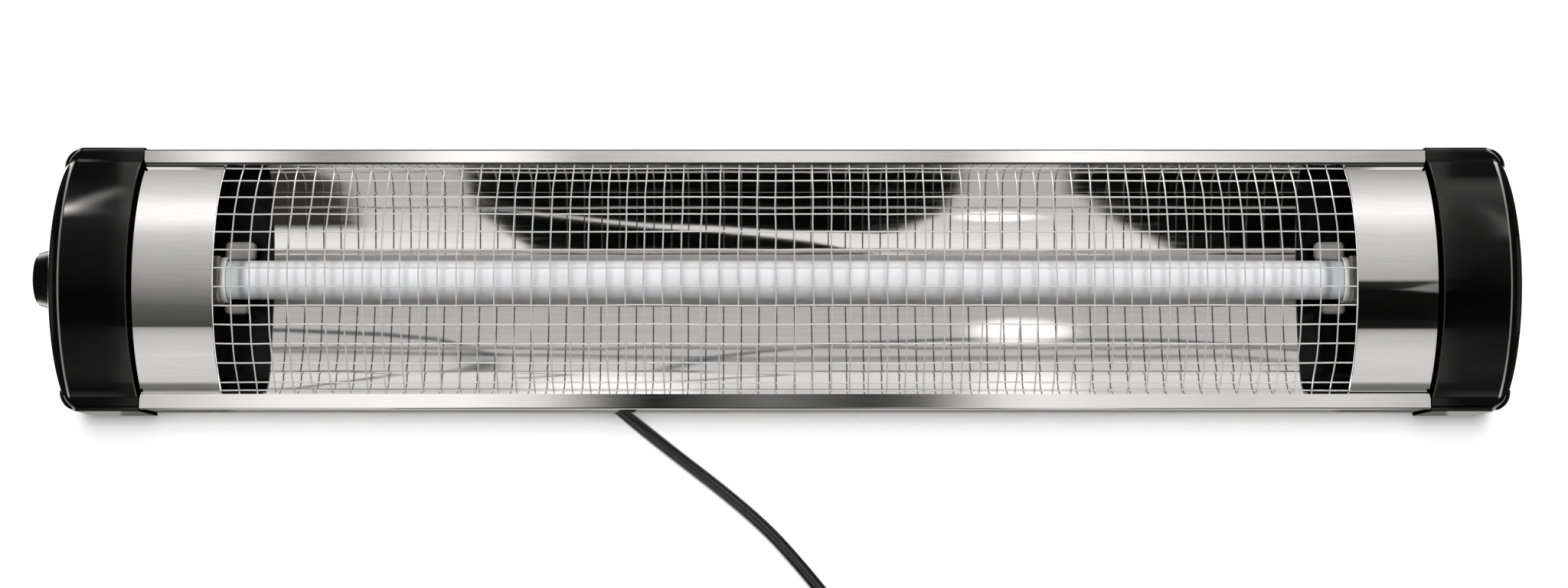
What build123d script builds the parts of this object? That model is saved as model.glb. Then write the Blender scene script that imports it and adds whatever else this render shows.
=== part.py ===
from build123d import *
from math import asin, cos, dist, pi, radians, sin, sqrt, tan
import os

# Linear quartz heater, lying on its back. X runs along it, Y is up in use, Z points out of its front.
# The origin is the middle of the wall bracket's bolt pattern, on the plane that the back rests on.

# Overall sizes
body_length = 921.0
cap_width = 57.0
cap_height = 190.0
cap_shoulder = 62.0
cap_apex = 107.0
cap_arch_chord = 172.0
cap_wall = 2.8
cap_corner = 14.0
cap_rim = 10.0
cap_edge = 4.0

# Sheet body
rail_plane = 60.0
rail_height = 187.0
rail_face = 10.9
rail_sheet = 1.2
back_gap = 16.0
back_flange = 13.5
cover_sheet = 1.0
band_width = 58.0
band_chord = 162.6
band_apex = 98.8
band_sheet = 1.0
band_foot = 7.0
band_tuck = 6.0

# Guard
wire = 1.2
hoop_count = 62
hoop_foot = 5.5
hoop_bend = 2.0
rod_pitch = 13.1
rod_count = 12
rod_offset = -2.5
edge_rod_reach = 79.9
rod_tuck = 6.5

# Reflector and the black shields at its ends
reflector_sheet = 0.6
reflector_mouth = 165.0
reflector_floor = 130.0
reflector_curve = 225.0
reflector_lip = 9.0
shield_length = 38.5
shield_sheet = 1.5
shield_wall = 2.0
shield_setback = 9.0

# Heating tube
tube_outer = 28.0
tube_wall = 1.5
tube_height = 50.0
tube_inset = 6.0
socket_width = 33.0
socket_height = 34.0
socket_depth = 22.0
socket_proud = 7.5
socket_corner = 6.0
socket_bore_depth = 8.0
ear_reach = 9.0
ear_sheet = 4.0
coil_turns = 60
coil_inset = 50.0
coil_wire = 1.4
stud = 4.0
disc_sheet = 3.0
socket_ring = 1.2
ear_height = 14.0

# Control knob and switch
knob_height = 54.0
knob_base = 47.0
knob_face = 37.0
knob_length = 17.5
knob_gap = 0.5
switch_size = 32.0
switch_depth = 18.0
shaft = 6.0
bushing = 10.0
tab_length = 7.0
shaft_flat = 2.3

# Cord and plug
cord = 9.0
gland_height = 9.8
gland_side = 4.0
gland_length = 34.0
gland_hole = 11.2
gland_flange = 6.8
gland_inside = 2.0
gland_collar = 2.5
sleeve_tip = 5.1
coil_middle = (8.0, -287.0)
coil_start_radius = 54.0
coil_step = 9.8
coil_layer_turns = 1.75
coil_entry_angle = 38.0
coil_floor = 5.45
coil_layer = 9.6
plug_face = 36.8
plug_length = 60.0
pin = 4.8
pin_length = 19.0
pin_spacing = 19.0
tie_sheet = 0.85
tie_width = 12.0

# Terminal block, leads and lugs
block_depth = 20.0
block_height = 16.0
pole_pitch = 9.0
lead = 2.4
lug_sheet = 1.0
lug_ring = 8.0
lug_barrel = 3.8

# Fits
seat_gap = 0.3
touch_gap = 0.02
screw_gap = 0.15
running_gap = 0.05

# Screws, rivets and nuts
cap_screw = 3.5
cap_head = 6.6
cap_sink = 4.0
boss = 9.0
boss_y = 60.0
cover_screw = 3.0
cover_head = 6.0
shield_screw = 3.0
socket_screw = 3.0
rivet = 3.2
rivet_head = 6.0
nut_across = 7.0
nut_sheet = 3.2
block_screw = 3.4

# Wall rail and its inserts
mount_half = 170.0
mount_web = 20.0
mount_flange = 34.0
mount_sheet = 1.5
mount_back = 1.0
bolt_spacing = 300.0
bolt_core = 5.0
insert_body = 9.0
insert_flange = 12.0
insert_length = 12.0

os.makedirs("parts", exist_ok=True)

# Places worked out from the sizes above
inner_wall = body_length / 2
window_length = body_length - 2 * band_width
side_face = inner_wall + cap_width
rail_top = rail_height / 2
cover_back = back_gap + rail_sheet
cover_front = cover_back + cover_sheet
rail_under = rail_plane - rail_sheet
band_rise = band_apex - rail_plane
band_radius = (band_chord**2 / 4 + band_rise**2) / (2 * band_rise)
band_axis = band_apex - band_radius
cap_rise = cap_apex - cap_shoulder
cap_radius = (cap_arch_chord**2 / 4 + cap_rise**2) / (2 * cap_rise)
cap_axis = cap_apex - cap_radius
hoop_radius = band_radius - band_sheet - seat_gap - wire / 2
rod_radius = hoop_radius - wire - touch_gap
foot_height = rail_under - band_sheet - wire / 2 - 2 * touch_gap
lip_height = foot_height - wire / 2 - touch_gap
reflector_back = cover_front + seat_gap
reflector_bottom = reflector_back + reflector_sheet
shield_wall_at = window_length / 2 + shield_setback
shield_mouth = shield_wall_at - shield_length
socket_face = shield_wall_at - socket_proud
tube_end = socket_face + tube_inset
tube_bore = tube_outer - 2 * tube_wall
coil_half = tube_end - coil_inset
coil_pitch = 2 * coil_half / coil_turns
hoop_pitch = window_length / (hoop_count - 1)


def save(piece, label):
    """Write one node under its name."""
    piece.label = label
    export_step(piece, f"parts/{label}.step")


def arc_y(radius, axis, height):
    """Half width of an arch of this radius, whose axis is at Z = axis, at a height."""
    return sqrt(radius**2 - (height - axis) ** 2)


# End caps: a box with rounded outer corners, and a drum with a rounded rim bulging out of its front
def cap_drum(inset, side):
    width = cap_width - 2 * inset
    half = cap_arch_chord / 2 - inset
    with BuildPart() as drum:
        with BuildSketch(Plane.YZ.offset(side * (inner_wall + inset))):
            with Locations((0, cap_axis)):
                Circle(cap_radius - inset)
        extrude(amount=side * width)
        fillet(drum.edges().sort_by(Axis.X)[-1 if side > 0 else 0], cap_rim - inset)
        split(bisect_by=Plane.XY.offset(cap_shoulder - cap_edge - inset), keep=Keep.TOP)
        with BuildSketch(Plane.YZ.offset(side * (inner_wall + inset))):
            with Locations((0, cap_apex)):
                Rectangle(2 * half, 4 * cap_rise)
        extrude(amount=side * width, mode=Mode.INTERSECT)
    return drum.part


def cap_solid(inset, side):
    near = inner_wall + inset
    width = cap_width - 2 * inset
    far = near + width
    with BuildPart() as solid:
        with BuildSketch(Plane.XY.offset(inset)):
            with Locations((side * (near + width / 2), 0)):
                Rectangle(width, cap_height - 2 * inset)
        extrude(amount=cap_shoulder - 2 * inset)
        uprights = solid.edges().filter_by(Axis.Z)
        fillet(uprights.filter_by(lambda e: abs(abs(e.center().X) - far) < 0.1), cap_corner - inset)
        outer = solid.faces().sort_by(Axis.Z)[-1].edges()
        fillet(outer.filter_by(lambda e: abs(e.center().X) - near > 0.1), cap_edge)
        add(cap_drum(inset, side))
    return solid.part


def cap_opening(side):
    half = band_chord / 2
    low = cover_back - seat_gap
    radius = band_radius + seat_gap
    shoulder = band_axis + sqrt(radius**2 - half**2)
    with BuildPart() as opening:
        with BuildSketch(Plane.YZ.offset(side * (inner_wall - cap_wall))):
            with BuildLine():
                Polyline((-half, shoulder), (-half, low), (half, low), (half, shoulder))
                ThreePointArc((half, shoulder), (0, band_axis + radius), (-half, shoulder))
            make_face()
        extrude(amount=side * 3 * cap_wall)
    return opening.part


boss_x = inner_wall + 14.5


def end_cap(side):
    with BuildPart() as cap:
        add(cap_solid(0, side))
        add(cap_solid(cap_wall, side), mode=Mode.SUBTRACT)
        add(cap_opening(side), mode=Mode.SUBTRACT)
        with BuildSketch(Plane.XY.offset(cap_wall - touch_gap)):
            with Locations((side * boss_x, boss_y), (side * boss_x, -boss_y)):
                Circle(boss / 2)
        extrude(amount=cover_back - cap_wall + touch_gap)
        with Locations((side * boss_x, boss_y, 0), (side * boss_x, -boss_y, 0)):
            Cylinder(cap_screw / 2 + screw_gap, 2 * cover_front, mode=Mode.SUBTRACT)
            Cylinder(cap_head / 2 + screw_gap, 2 * cap_sink, mode=Mode.SUBTRACT)
        if side < 0:
            with BuildSketch(Plane.YZ.offset(-inner_wall + cap_wall)):
                with Locations((gland_side, gland_height)):
                    Circle(gland_hole / 2)
            extrude(amount=-3 * cap_wall, mode=Mode.SUBTRACT)
            with BuildSketch(Plane.YZ.offset(-side_face - cap_wall)):
                with Locations((0, knob_height)):
                    Circle(bushing / 2 + screw_gap)
            extrude(amount=3 * cap_wall, mode=Mode.SUBTRACT)
    return cap.part


save(end_cap(-1), "left_end_cap")
save(end_cap(1), "right_end_cap")


# Rails: a face beside the window, a side wall and a flange under the rear cover
cover_screw_y = rail_top - 7.5
cover_screw_xs = [body_length / 6 * k for k in (-2.5, -1.5, -0.5, 0.5, 1.5, 2.5)]


def rail(up):
    inner = rail_top - rail_face
    flange = rail_top - back_flange
    with BuildPart() as piece:
        with BuildSketch(Plane.YZ.offset(-inner_wall + seat_gap)):
            with BuildLine():
                Polyline(
                    (up * inner, rail_plane),
                    (up * rail_top, rail_plane),
                    (up * rail_top, back_gap),
                    (up * flange, back_gap),
                    (up * flange, cover_back),
                    (up * (rail_top - rail_sheet), cover_back),
                    (up * (rail_top - rail_sheet), rail_under),
                    (up * inner, rail_under),
                    close=True,
                )
            make_face()
        extrude(amount=body_length - 2 * seat_gap)
        rounded = piece.edges().filter_by(Axis.X).filter_by(lambda e: abs(abs(e.center().Y) - rail_top) < 0.1)
        fillet(rounded, rail_sheet)
        with Locations(*[(x, up * cover_screw_y, back_gap) for x in cover_screw_xs]):
            Cylinder(cover_screw / 2 + screw_gap, 4 * rail_sheet, mode=Mode.SUBTRACT)
    return piece.part


save(rail(1), "top_rail")
save(rail(-1), "bottom_rail")


# Bands: an arched sheet at each end of the window, with feet under the rails
def band(side):
    reach = arc_y(band_radius, band_axis, rail_under) + band_foot
    outer_y = arc_y(band_radius, band_axis, rail_under)
    under = rail_under - band_sheet
    inner_y = arc_y(band_radius - band_sheet, band_axis, under)
    with BuildPart() as piece:
        with BuildSketch(Plane.YZ.offset(side * window_length / 2)):
            with BuildLine():
                Line((-reach, rail_under), (-outer_y, rail_under))
                ThreePointArc((-outer_y, rail_under), (0, band_apex), (outer_y, rail_under))
                Polyline((outer_y, rail_under), (reach, rail_under), (reach, under), (inner_y, under))
                ThreePointArc((inner_y, under), (0, band_apex - band_sheet), (-inner_y, under))
                Polyline((-inner_y, under), (-reach, under), (-reach, rail_under))
            make_face()
        extrude(amount=side * (inner_wall - window_length / 2 - seat_gap))
        with BuildSketch(Plane.YZ.offset(side * (inner_wall - seat_gap))):
            with BuildLine():
                tuck_y = band_chord / 2 - seat_gap
                tuck_z = band_axis + sqrt(band_radius**2 - tuck_y**2)
                low_z = band_axis + sqrt((band_radius - band_sheet) ** 2 - tuck_y**2)
                ThreePointArc((-tuck_y, tuck_z), (0, band_apex), (tuck_y, tuck_z))
                Line((tuck_y, tuck_z), (tuck_y, low_z))
                ThreePointArc((tuck_y, low_z), (0, band_apex - band_sheet), (-tuck_y, low_z))
                Line((-tuck_y, low_z), (-tuck_y, tuck_z))
            make_face()
        extrude(amount=side * (band_tuck + seat_gap))
    return piece.part


save(band(-1), "left_band")
save(band(1), "right_band")


# Guard: bent hoops side by side, and straight rods welded under them
def hoop_wire():
    bend_z = foot_height + hoop_bend
    bend_y = arc_y(hoop_radius + hoop_bend, band_axis, bend_z)
    lean = asin(bend_y / (hoop_radius + hoop_bend))
    meet = (hoop_radius * sin(lean), band_axis + hoop_radius * cos(lean))
    middle = (bend_y - hoop_bend * sin(lean / 2), bend_z - hoop_bend * cos(lean / 2))
    with BuildPart() as one:
        with BuildLine() as path:
            Line((0, -bend_y - hoop_foot, foot_height), (0, -bend_y, foot_height))
            ThreePointArc((0, -bend_y, foot_height), (0, -middle[0], middle[1]), (0, -meet[0], meet[1]))
            ThreePointArc((0, -meet[0], meet[1]), (0, 0, band_axis + hoop_radius), (0, meet[0], meet[1]))
            ThreePointArc((0, meet[0], meet[1]), (0, middle[0], middle[1]), (0, bend_y, foot_height))
            Line((0, bend_y, foot_height), (0, bend_y + hoop_foot, foot_height))
        with BuildSketch(Plane(origin=path.wire() @ 0, z_dir=path.wire() % 0)):
            Circle(wire / 2)
        sweep()
    return one.part


first_hoop = -hoop_pitch * (hoop_count - 1) / 2
one_hoop = hoop_wire()
with BuildPart() as guard_hoops:
    for k in range(hoop_count):
        add(one_hoop.moved(Location((first_hoop + k * hoop_pitch, 0, 0))))
save(guard_hoops.part, "guard_hoops")

rod_ys = [rod_offset + (k - (rod_count - 1) / 2) * rod_pitch for k in range(rod_count)]
rod_ys = rod_ys + [-edge_rod_reach, edge_rod_reach]
rod_length = window_length + 2 * rod_tuck
with BuildPart() as guard_rods:
    with BuildSketch(Plane.YZ.offset(-rod_length / 2)):
        with Locations(*[(y, band_axis + sqrt(rod_radius**2 - y**2)) for y in rod_ys]):
            Circle(wire / 2)
    extrude(amount=rod_length)
save(guard_rods.part, "guard_rods")


# Reflector: a polished trough with a slightly curved floor, steep sides and a lip under each rail
def trough_half(lift, top):
    """Points of half the trough's line, lifted off its surface: bend, side, rim and the floor's height."""
    floor_y = reflector_floor / 2
    slope = asin(floor_y / reflector_curve)
    floor_z = reflector_bottom + reflector_curve * (1 - cos(slope))
    across = reflector_mouth / 2 - floor_y
    up = lip_height - floor_z
    side_radius = (across**2 + up**2) / (2 * (up * cos(slope) - across * sin(slope)))
    centre_y = floor_y - side_radius * sin(slope)
    centre_z = floor_z + side_radius * cos(slope)
    radius = side_radius - lift
    rim_y = centre_y + sqrt(radius**2 - (top - centre_z) ** 2)
    half_way = (slope + asin((rim_y - centre_y) / radius)) / 2
    bend = (centre_y + radius * sin(slope), centre_z - radius * cos(slope))
    side = (centre_y + radius * sin(half_way), centre_z - radius * cos(half_way))
    return bend, side, (rim_y, top), reflector_bottom + lift


def mirrored(point):
    return (-point[0], point[1])


def trough_line(lift, top):
    """The whole trough's line in the open sketch, from rim to rim."""
    bend, side, rim, floor = trough_half(lift, top)
    ThreePointArc(mirrored(rim), mirrored(side), mirrored(bend))
    ThreePointArc(mirrored(bend), (0, floor), bend)
    ThreePointArc(bend, side, rim)


lip_low = lip_height - reflector_sheet
inner_rim = trough_half(0, lip_height)[2]
outer_rim = trough_half(-reflector_sheet, lip_low)[2]
lip_y = inner_rim[0] + reflector_lip
shield_screw_xs = [shield_mouth + 9.0, shield_mouth + 29.0]
with BuildPart() as reflector:
    with BuildSketch(Plane.YZ.offset(-inner_wall + 1.0)):
        with BuildLine():
            trough_line(0, lip_height)
            Polyline(inner_rim, (lip_y, lip_height), (lip_y, lip_low), outer_rim)
            trough_line(-reflector_sheet, lip_low)
            Polyline(mirrored(outer_rim), (-lip_y, lip_low), (-lip_y, lip_height), mirrored(inner_rim))
        make_face()
    extrude(amount=body_length - 2.0)
    with Locations(*[(s * x, 0, reflector_bottom) for x in shield_screw_xs for s in (-1, 1)]):
        Cylinder(shield_screw / 2 + screw_gap, 8 * reflector_sheet, mode=Mode.SUBTRACT)
save(reflector.part, "reflector")


# End shields: a black tray over each end of the trough, and a wall that carries the socket
socket_screw_y = socket_width / 2 + ear_reach / 2


def shield(side):
    low = seat_gap
    top = lip_height - shield_sheet
    with BuildPart() as piece:
        with BuildSketch(Plane.YZ.offset(side * shield_mouth)):
            with BuildLine():
                trough_line(low, top)
                Line(trough_half(low, top)[2], trough_half(low + shield_sheet, top)[2])
                trough_line(low + shield_sheet, top)
                Line(mirrored(trough_half(low, top)[2]), mirrored(trough_half(low + shield_sheet, top)[2]))
            make_face()
        extrude(amount=side * (shield_length + shield_wall))
        with BuildSketch(Plane.YZ.offset(side * shield_wall_at)):
            arch = band_radius - band_sheet - seat_gap
            arch_y = arc_y(arch, band_axis, lip_height)
            with BuildLine():
                trough_line(low, lip_height)
                Line(trough_half(low, lip_height)[2], (arch_y, lip_height))
                ThreePointArc((arch_y, lip_height), (0, band_axis + arch), (-arch_y, lip_height))
                Line((-arch_y, lip_height), mirrored(trough_half(low, lip_height)[2]))
            make_face()
            with Locations((0, tube_height)):
                Rectangle(socket_width + 2 * seat_gap, socket_height + 2 * seat_gap, mode=Mode.SUBTRACT)
            with Locations((socket_screw_y, tube_height), (-socket_screw_y, tube_height)):
                Circle(socket_screw / 2 + screw_gap, mode=Mode.SUBTRACT)
        extrude(amount=side * shield_wall)
        with Locations(*[(side * x, 0, reflector_bottom) for x in shield_screw_xs]):
            Cylinder(shield_screw / 2 + screw_gap, 8 * shield_sheet, mode=Mode.SUBTRACT)
    return piece.part


save(shield(-1), "left_end_shield")
save(shield(1), "right_end_shield")


# Sockets: a ceramic block with a raised ring around the tube's bore, and an ear each side behind the shield
stud_bore = stud + 2 * screw_gap


def socket(side):
    back = socket_face + socket_depth
    ear_front = shield_wall_at + shield_wall
    with BuildPart() as piece:
        with BuildSketch(Plane.YZ.offset(side * (socket_face + socket_ring))):
            with Locations((0, tube_height)):
                RectangleRounded(socket_width, socket_height, socket_corner)
        extrude(amount=side * (socket_depth - socket_ring))
        with BuildSketch(Plane.YZ.offset(side * socket_face)):
            with Locations((0, tube_height)):
                Circle(socket_width / 2 - socket_ring / 2)
        extrude(amount=side * socket_depth / 2)
        with BuildSketch(Plane.YZ.offset(side * ear_front)):
            with Locations((0, tube_height)):
                RectangleRounded(socket_width + 2 * ear_reach, ear_height, ear_sheet)
        extrude(amount=side * ear_sheet)
        with BuildSketch(Plane.YZ.offset(side * socket_face)):
            with Locations((0, tube_height)):
                Circle(tube_outer / 2 + screw_gap)
        extrude(amount=side * socket_bore_depth, mode=Mode.SUBTRACT)
        with BuildSketch(Plane.YZ.offset(side * socket_face)):
            with Locations((0, tube_height)):
                Circle(stud_bore / 2)
        extrude(amount=side * (back - socket_face + 1), mode=Mode.SUBTRACT)
        with BuildSketch(Plane.YZ.offset(side * (ear_front - 1))):
            with Locations((socket_screw_y, tube_height), (-socket_screw_y, tube_height)):
                Circle(socket_screw / 2 + screw_gap)
        extrude(amount=side * (ear_sheet + 2), mode=Mode.SUBTRACT)
    return piece.part


save(socket(-1), "left_socket")
save(socket(1), "right_socket")


# Quartz tube
with BuildPart() as quartz_tube:
    with BuildSketch(Plane.YZ.offset(-tube_end)):
        with Locations((0, tube_height)):
            Circle(tube_outer / 2)
            Circle(tube_bore / 2, mode=Mode.SUBTRACT)
    extrude(amount=2 * tube_end)
save(quartz_tube.part, "quartz_tube")


# Wound tubes follow pairs of tangent arcs between points with known directions
def arc_pair(start, start_way, end, end_way):
    """Two arcs that leave start along start_way and reach end along end_way."""
    span = end - start
    ways = start_way + end_way
    turn = 1 - start_way.dot(end_way)
    reach = (-span.dot(ways) + sqrt(span.dot(ways) ** 2 + 2 * turn * span.dot(span))) / (2 * turn)
    first = start + start_way * reach
    second = end - end_way * reach
    middle = (first + second) * 0.5
    TangentArc(start, middle, tangent=start_way)
    TangentArc(middle, end, tangent=(second - first).normalized())


def swept(path, thickness):
    """A round tube along a finished line."""
    with BuildPart() as tube:
        with BuildSketch(Plane(origin=path @ 0, z_dir=path % 0)):
            Circle(thickness / 2)
        sweep(path=path)
    return tube.part


def least_gap(edges, thickness, apart, reach):
    """Least clear distance between places of a wound line that lie from apart to reach from each other along it."""
    step = thickness / 3
    points = []
    for edge in edges:
        count = max(1, round(edge.length / step))
        points += [tuple(edge @ (k / count)) for k in range(count)]
    first = int(apart / step)
    last = int(reach / step)
    return min(
        dist(points[i], points[j])
        for i in range(len(points))
        for j in range(i + first, min(i + last, len(points)))
    ) - thickness


# Heating coil inside the tube, ending face to face on the terminals' discs
coil_radius = tube_bore / 2 - seat_gap - coil_wire / 2
disc_face = coil_half + 4 * coil_wire
rise = coil_pitch / (2 * pi)
lead_turn = radians(22)


def on_coil(x, angle):
    return Vector(x, coil_radius * cos(angle), tube_height + coil_radius * sin(angle))


def coil_way(angle):
    return Vector(rise, -coil_radius * sin(angle), coil_radius * cos(angle)).normalized()


along = Vector(1, 0, 0)
with BuildLine() as winding:
    last_angle = 2 * pi * coil_turns
    low_lead = on_coil(-coil_half - 3 * coil_wire, -lead_turn)
    high_lead = on_coil(coil_half + 3 * coil_wire, last_angle + lead_turn)
    Line(low_lead - along * coil_wire, low_lead)
    arc_pair(low_lead, along, on_coil(-coil_half, 0), coil_way(0))
    for k in range(2 * coil_turns):
        here = -coil_half + k * coil_pitch / 2
        arc_pair(
            on_coil(here, pi * k), coil_way(pi * k),
            on_coil(here + coil_pitch / 2, pi * (k + 1)), coil_way(pi * (k + 1)),
        )
    arc_pair(on_coil(coil_half, last_angle), coil_way(last_angle), high_lead, along)
    Line(high_lead, high_lead + along * coil_wire)
print("heating coil least gap", round(least_gap(winding.edges(), coil_wire, 2 * coil_pitch, 12 * coil_pitch), 2))
save(swept(winding.wire(), coil_wire), "heating_coil")


# Terminals: a disc that closes the coil's end, and a stud through the socket with nuts and a lug
first_nut = socket_face + socket_depth + screw_gap
lug_at = first_nut + nut_sheet
second_nut = lug_at + lug_sheet
stud_end = second_nut + nut_sheet + 2.5


def x_bar(start, end, radius, y, z, mode=Mode.ADD):
    """A round bar along X in the open part, or a round hole."""
    with Locations(Location(((start + end) / 2, y, z), (0, 90, 0))):
        Cylinder(radius, abs(end - start), mode=mode)


for side, name in ((-1, "left_terminal"), (1, "right_terminal")):
    with BuildPart() as terminal:
        x_bar(side * disc_face, side * (disc_face + disc_sheet), tube_bore / 2 - seat_gap, 0, tube_height)
        x_bar(side * disc_face, side * stud_end, stud / 2, 0, tube_height)
    save(terminal.part, name)

with BuildPart() as terminal_nuts:
    for side in (-1, 1):
        for start in (first_nut, second_nut):
            with BuildSketch(Plane.YZ.offset(side * start)):
                with Locations((0, tube_height)):
                    RegularPolygon(nut_across / 2, 6, major_radius=False)
                    Circle(stud / 2 + running_gap, mode=Mode.SUBTRACT)
            extrude(amount=side * nut_sheet)
save(terminal_nuts.part, "terminal_nuts")

with BuildPart() as socket_screws:
    for side in (-1, 1):
        head_at = shield_wall_at + shield_wall + ear_sheet
        for y in (-socket_screw_y, socket_screw_y):
            x_bar(side * (shield_wall_at - 1), side * head_at, socket_screw / 2, y, tube_height)
            x_bar(side * head_at, side * (head_at + 2), socket_screw - 0.2, y, tube_height)
save(socket_screws.part, "socket_screws")


# Rear cover with a tongue at each corner for the end caps' screws
tongue_side = 12.0
earth_x = inner_wall + 11.0
earth_y = boss_y - 8.5
tongue_end = boss_x + 7.0
rivet_x = mount_half - 20.0
rivet_y = (mount_web + mount_flange) / 2
with BuildPart() as rear_cover:
    with BuildSketch(Plane.XY.offset(cover_back)):
        Rectangle(body_length - 2 * seat_gap, 2 * (rail_top - 1.7))
        with Locations((0, boss_y), (0, -boss_y)):
            Rectangle(2 * tongue_end, 2 * tongue_side)
        with Locations(*[(s * boss_x, t * boss_y) for s in (-1, 1) for t in (-1, 1)]):
            Circle(cap_screw / 2 + screw_gap, mode=Mode.SUBTRACT)
        with Locations(*[(x, t * cover_screw_y) for x in cover_screw_xs for t in (-1, 1)]):
            Circle(cover_screw / 2 + screw_gap, mode=Mode.SUBTRACT)
        with Locations((-earth_x, earth_y)):
            Circle(cover_screw / 2 + screw_gap, mode=Mode.SUBTRACT)
        with Locations(*[(s * x, 0) for x in shield_screw_xs for s in (-1, 1)]):
            Circle(shield_screw / 2 + screw_gap, mode=Mode.SUBTRACT)
        with Locations(*[(s * rivet_x, t * rivet_y) for s in (-1, 1) for t in (-1, 1)]):
            Circle(rivet / 2 + screw_gap, mode=Mode.SUBTRACT)
    extrude(amount=cover_sheet)
save(rear_cover.part, "rear_cover")

with BuildPart() as cap_screws:
    for s in (-1, 1):
        for t in (-1, 1):
            with BuildSketch(Plane.XY.offset(cap_sink - 2.5)):
                with Locations((s * boss_x, t * boss_y)):
                    Circle(cap_head / 2)
            extrude(amount=2.5)
            with BuildSketch(Plane.XY.offset(cap_sink)):
                with Locations((s * boss_x, t * boss_y)):
                    Circle(cap_screw / 2)
            extrude(amount=cover_front + 3 - cap_sink)
save(cap_screws.part, "cap_screws")

with BuildPart() as cover_screws:
    spots = [(x, t * cover_screw_y) for x in cover_screw_xs for t in (-1, 1)]
    with BuildSketch(Plane.XY.offset(back_gap - 1.8)):
        with Locations(*spots):
            Circle(cover_head / 2)
    extrude(amount=1.8)
    with BuildSketch(Plane.XY.offset(back_gap)):
        with Locations(*spots):
            Circle(cover_screw / 2)
    extrude(amount=cover_front + 2 - back_gap)
save(cover_screws.part, "cover_screws")

shield_floor = reflector_bottom + seat_gap + shield_sheet
with BuildPart() as shield_screws:
    spots = [(s * x, 0) for x in shield_screw_xs for s in (-1, 1)]
    with BuildSketch(Plane.XY.offset(shield_floor + touch_gap)):
        with Locations(*spots):
            Circle(shield_screw)
    extrude(amount=1.8)
    with BuildSketch(Plane.XY.offset(cover_back - 2)):
        with Locations(*spots):
            Circle(shield_screw / 2)
    extrude(amount=shield_floor + touch_gap - cover_back + 2)
save(shield_screws.part, "shield_screws")


# Wall bracket: a folded channel on the rear cover, with two threaded inserts for the bracket's bolts
with BuildPart() as mounting_rail:
    with BuildSketch(Plane.YZ.offset(-mount_half)):
        inside = mount_web - mount_sheet
        low = cover_back - mount_sheet
        with BuildLine():
            Polyline(
                (-mount_flange, low), (-mount_web, low), (-mount_web, mount_back), (mount_web, mount_back),
                (mount_web, low), (mount_flange, low), (mount_flange, cover_back), (inside, cover_back),
                (inside, mount_back + mount_sheet), (-inside, mount_back + mount_sheet), (-inside, cover_back),
                (-mount_flange, cover_back), close=True,
            )
        make_face()
    extrude(amount=2 * mount_half)
    bends = mounting_rail.edges().filter_by(Axis.X).group_by(Axis.Z)[0]
    fillet(bends, mount_sheet)
    with BuildSketch(Plane.XY):
        with Locations((-bolt_spacing / 2, 0), (bolt_spacing / 2, 0)):
            Circle(insert_body / 2 + running_gap)
    extrude(amount=2 * (mount_back + mount_sheet), mode=Mode.SUBTRACT)
    with BuildSketch(Plane.XY.offset(low - 1)):
        with Locations(*[(s * rivet_x, t * rivet_y) for s in (-1, 1) for t in (-1, 1)]):
            Circle(rivet / 2 + screw_gap)
    extrude(amount=mount_sheet + 2, mode=Mode.SUBTRACT)
save(mounting_rail.part, "mounting_rail")

with BuildPart() as threaded_inserts:
    spots = [(-bolt_spacing / 2, 0), (bolt_spacing / 2, 0)]
    with BuildSketch(Plane.XY):
        with Locations(*spots):
            Circle(insert_flange / 2)
            Circle(bolt_core / 2, mode=Mode.SUBTRACT)
    extrude(amount=mount_back)
    with BuildSketch(Plane.XY.offset(mount_back)):
        with Locations(*spots):
            Circle(insert_body / 2)
            Circle(bolt_core / 2, mode=Mode.SUBTRACT)
    extrude(amount=insert_length - mount_back)
save(threaded_inserts.part, "threaded_inserts")

with BuildPart() as rail_rivets:
    spots = [(s * rivet_x, t * rivet_y) for s in (-1, 1) for t in (-1, 1)]
    with BuildSketch(Plane.XY.offset(cover_back - mount_sheet - 1.2)):
        with Locations(*spots):
            Circle(rivet_head / 2)
    extrude(amount=1.2)
    with BuildSketch(Plane.XY.offset(cover_back - mount_sheet)):
        with Locations(*spots):
            Circle(rivet / 2)
    extrude(amount=mount_sheet + cover_sheet)
    with BuildSketch(Plane.XY.offset(cover_front)):
        with Locations(*spots):
            Circle(rivet_head / 2 - 0.5)
    extrude(amount=1.0)
save(rail_rivets.part, "rail_rivets")


# Switch behind the left cap's side wall, its nut outside, its shaft and the knob
switch_front = side_face - cap_wall
switch_back = switch_front - switch_depth
switch_tab_x = -(switch_front + switch_back) / 2
switch_tab_y = 8.0
switch_low = knob_height - switch_size / 2
nut_front = side_face + 2.5
bushing_end = side_face + 4.0
knob_start = side_face + knob_gap
knob_end = knob_start + knob_length
shaft_end = knob_end - 2.5
switch_floor = switch_back + 3.0
with BuildPart() as switch_body:
    with BuildSketch(Plane.YZ.offset(-switch_front)):
        with Locations((0, knob_height)):
            RectangleRounded(switch_size, switch_size, 2)
    extrude(amount=switch_depth)
    x_bar(-bushing_end, -switch_front, bushing / 2, 0, knob_height)
    x_bar(-bushing_end, -switch_floor, shaft / 2 + running_gap, 0, knob_height, mode=Mode.SUBTRACT)
save(switch_body.part, "switch_body")

with BuildPart() as switch_tabs:
    with BuildSketch(Plane.XY.offset(switch_low)):
        with Locations((switch_tab_x, switch_tab_y), (switch_tab_x, -switch_tab_y)):
            Rectangle(6.3, 0.8)
    extrude(amount=-tab_length)
save(switch_tabs.part, "switch_tabs")

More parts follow.
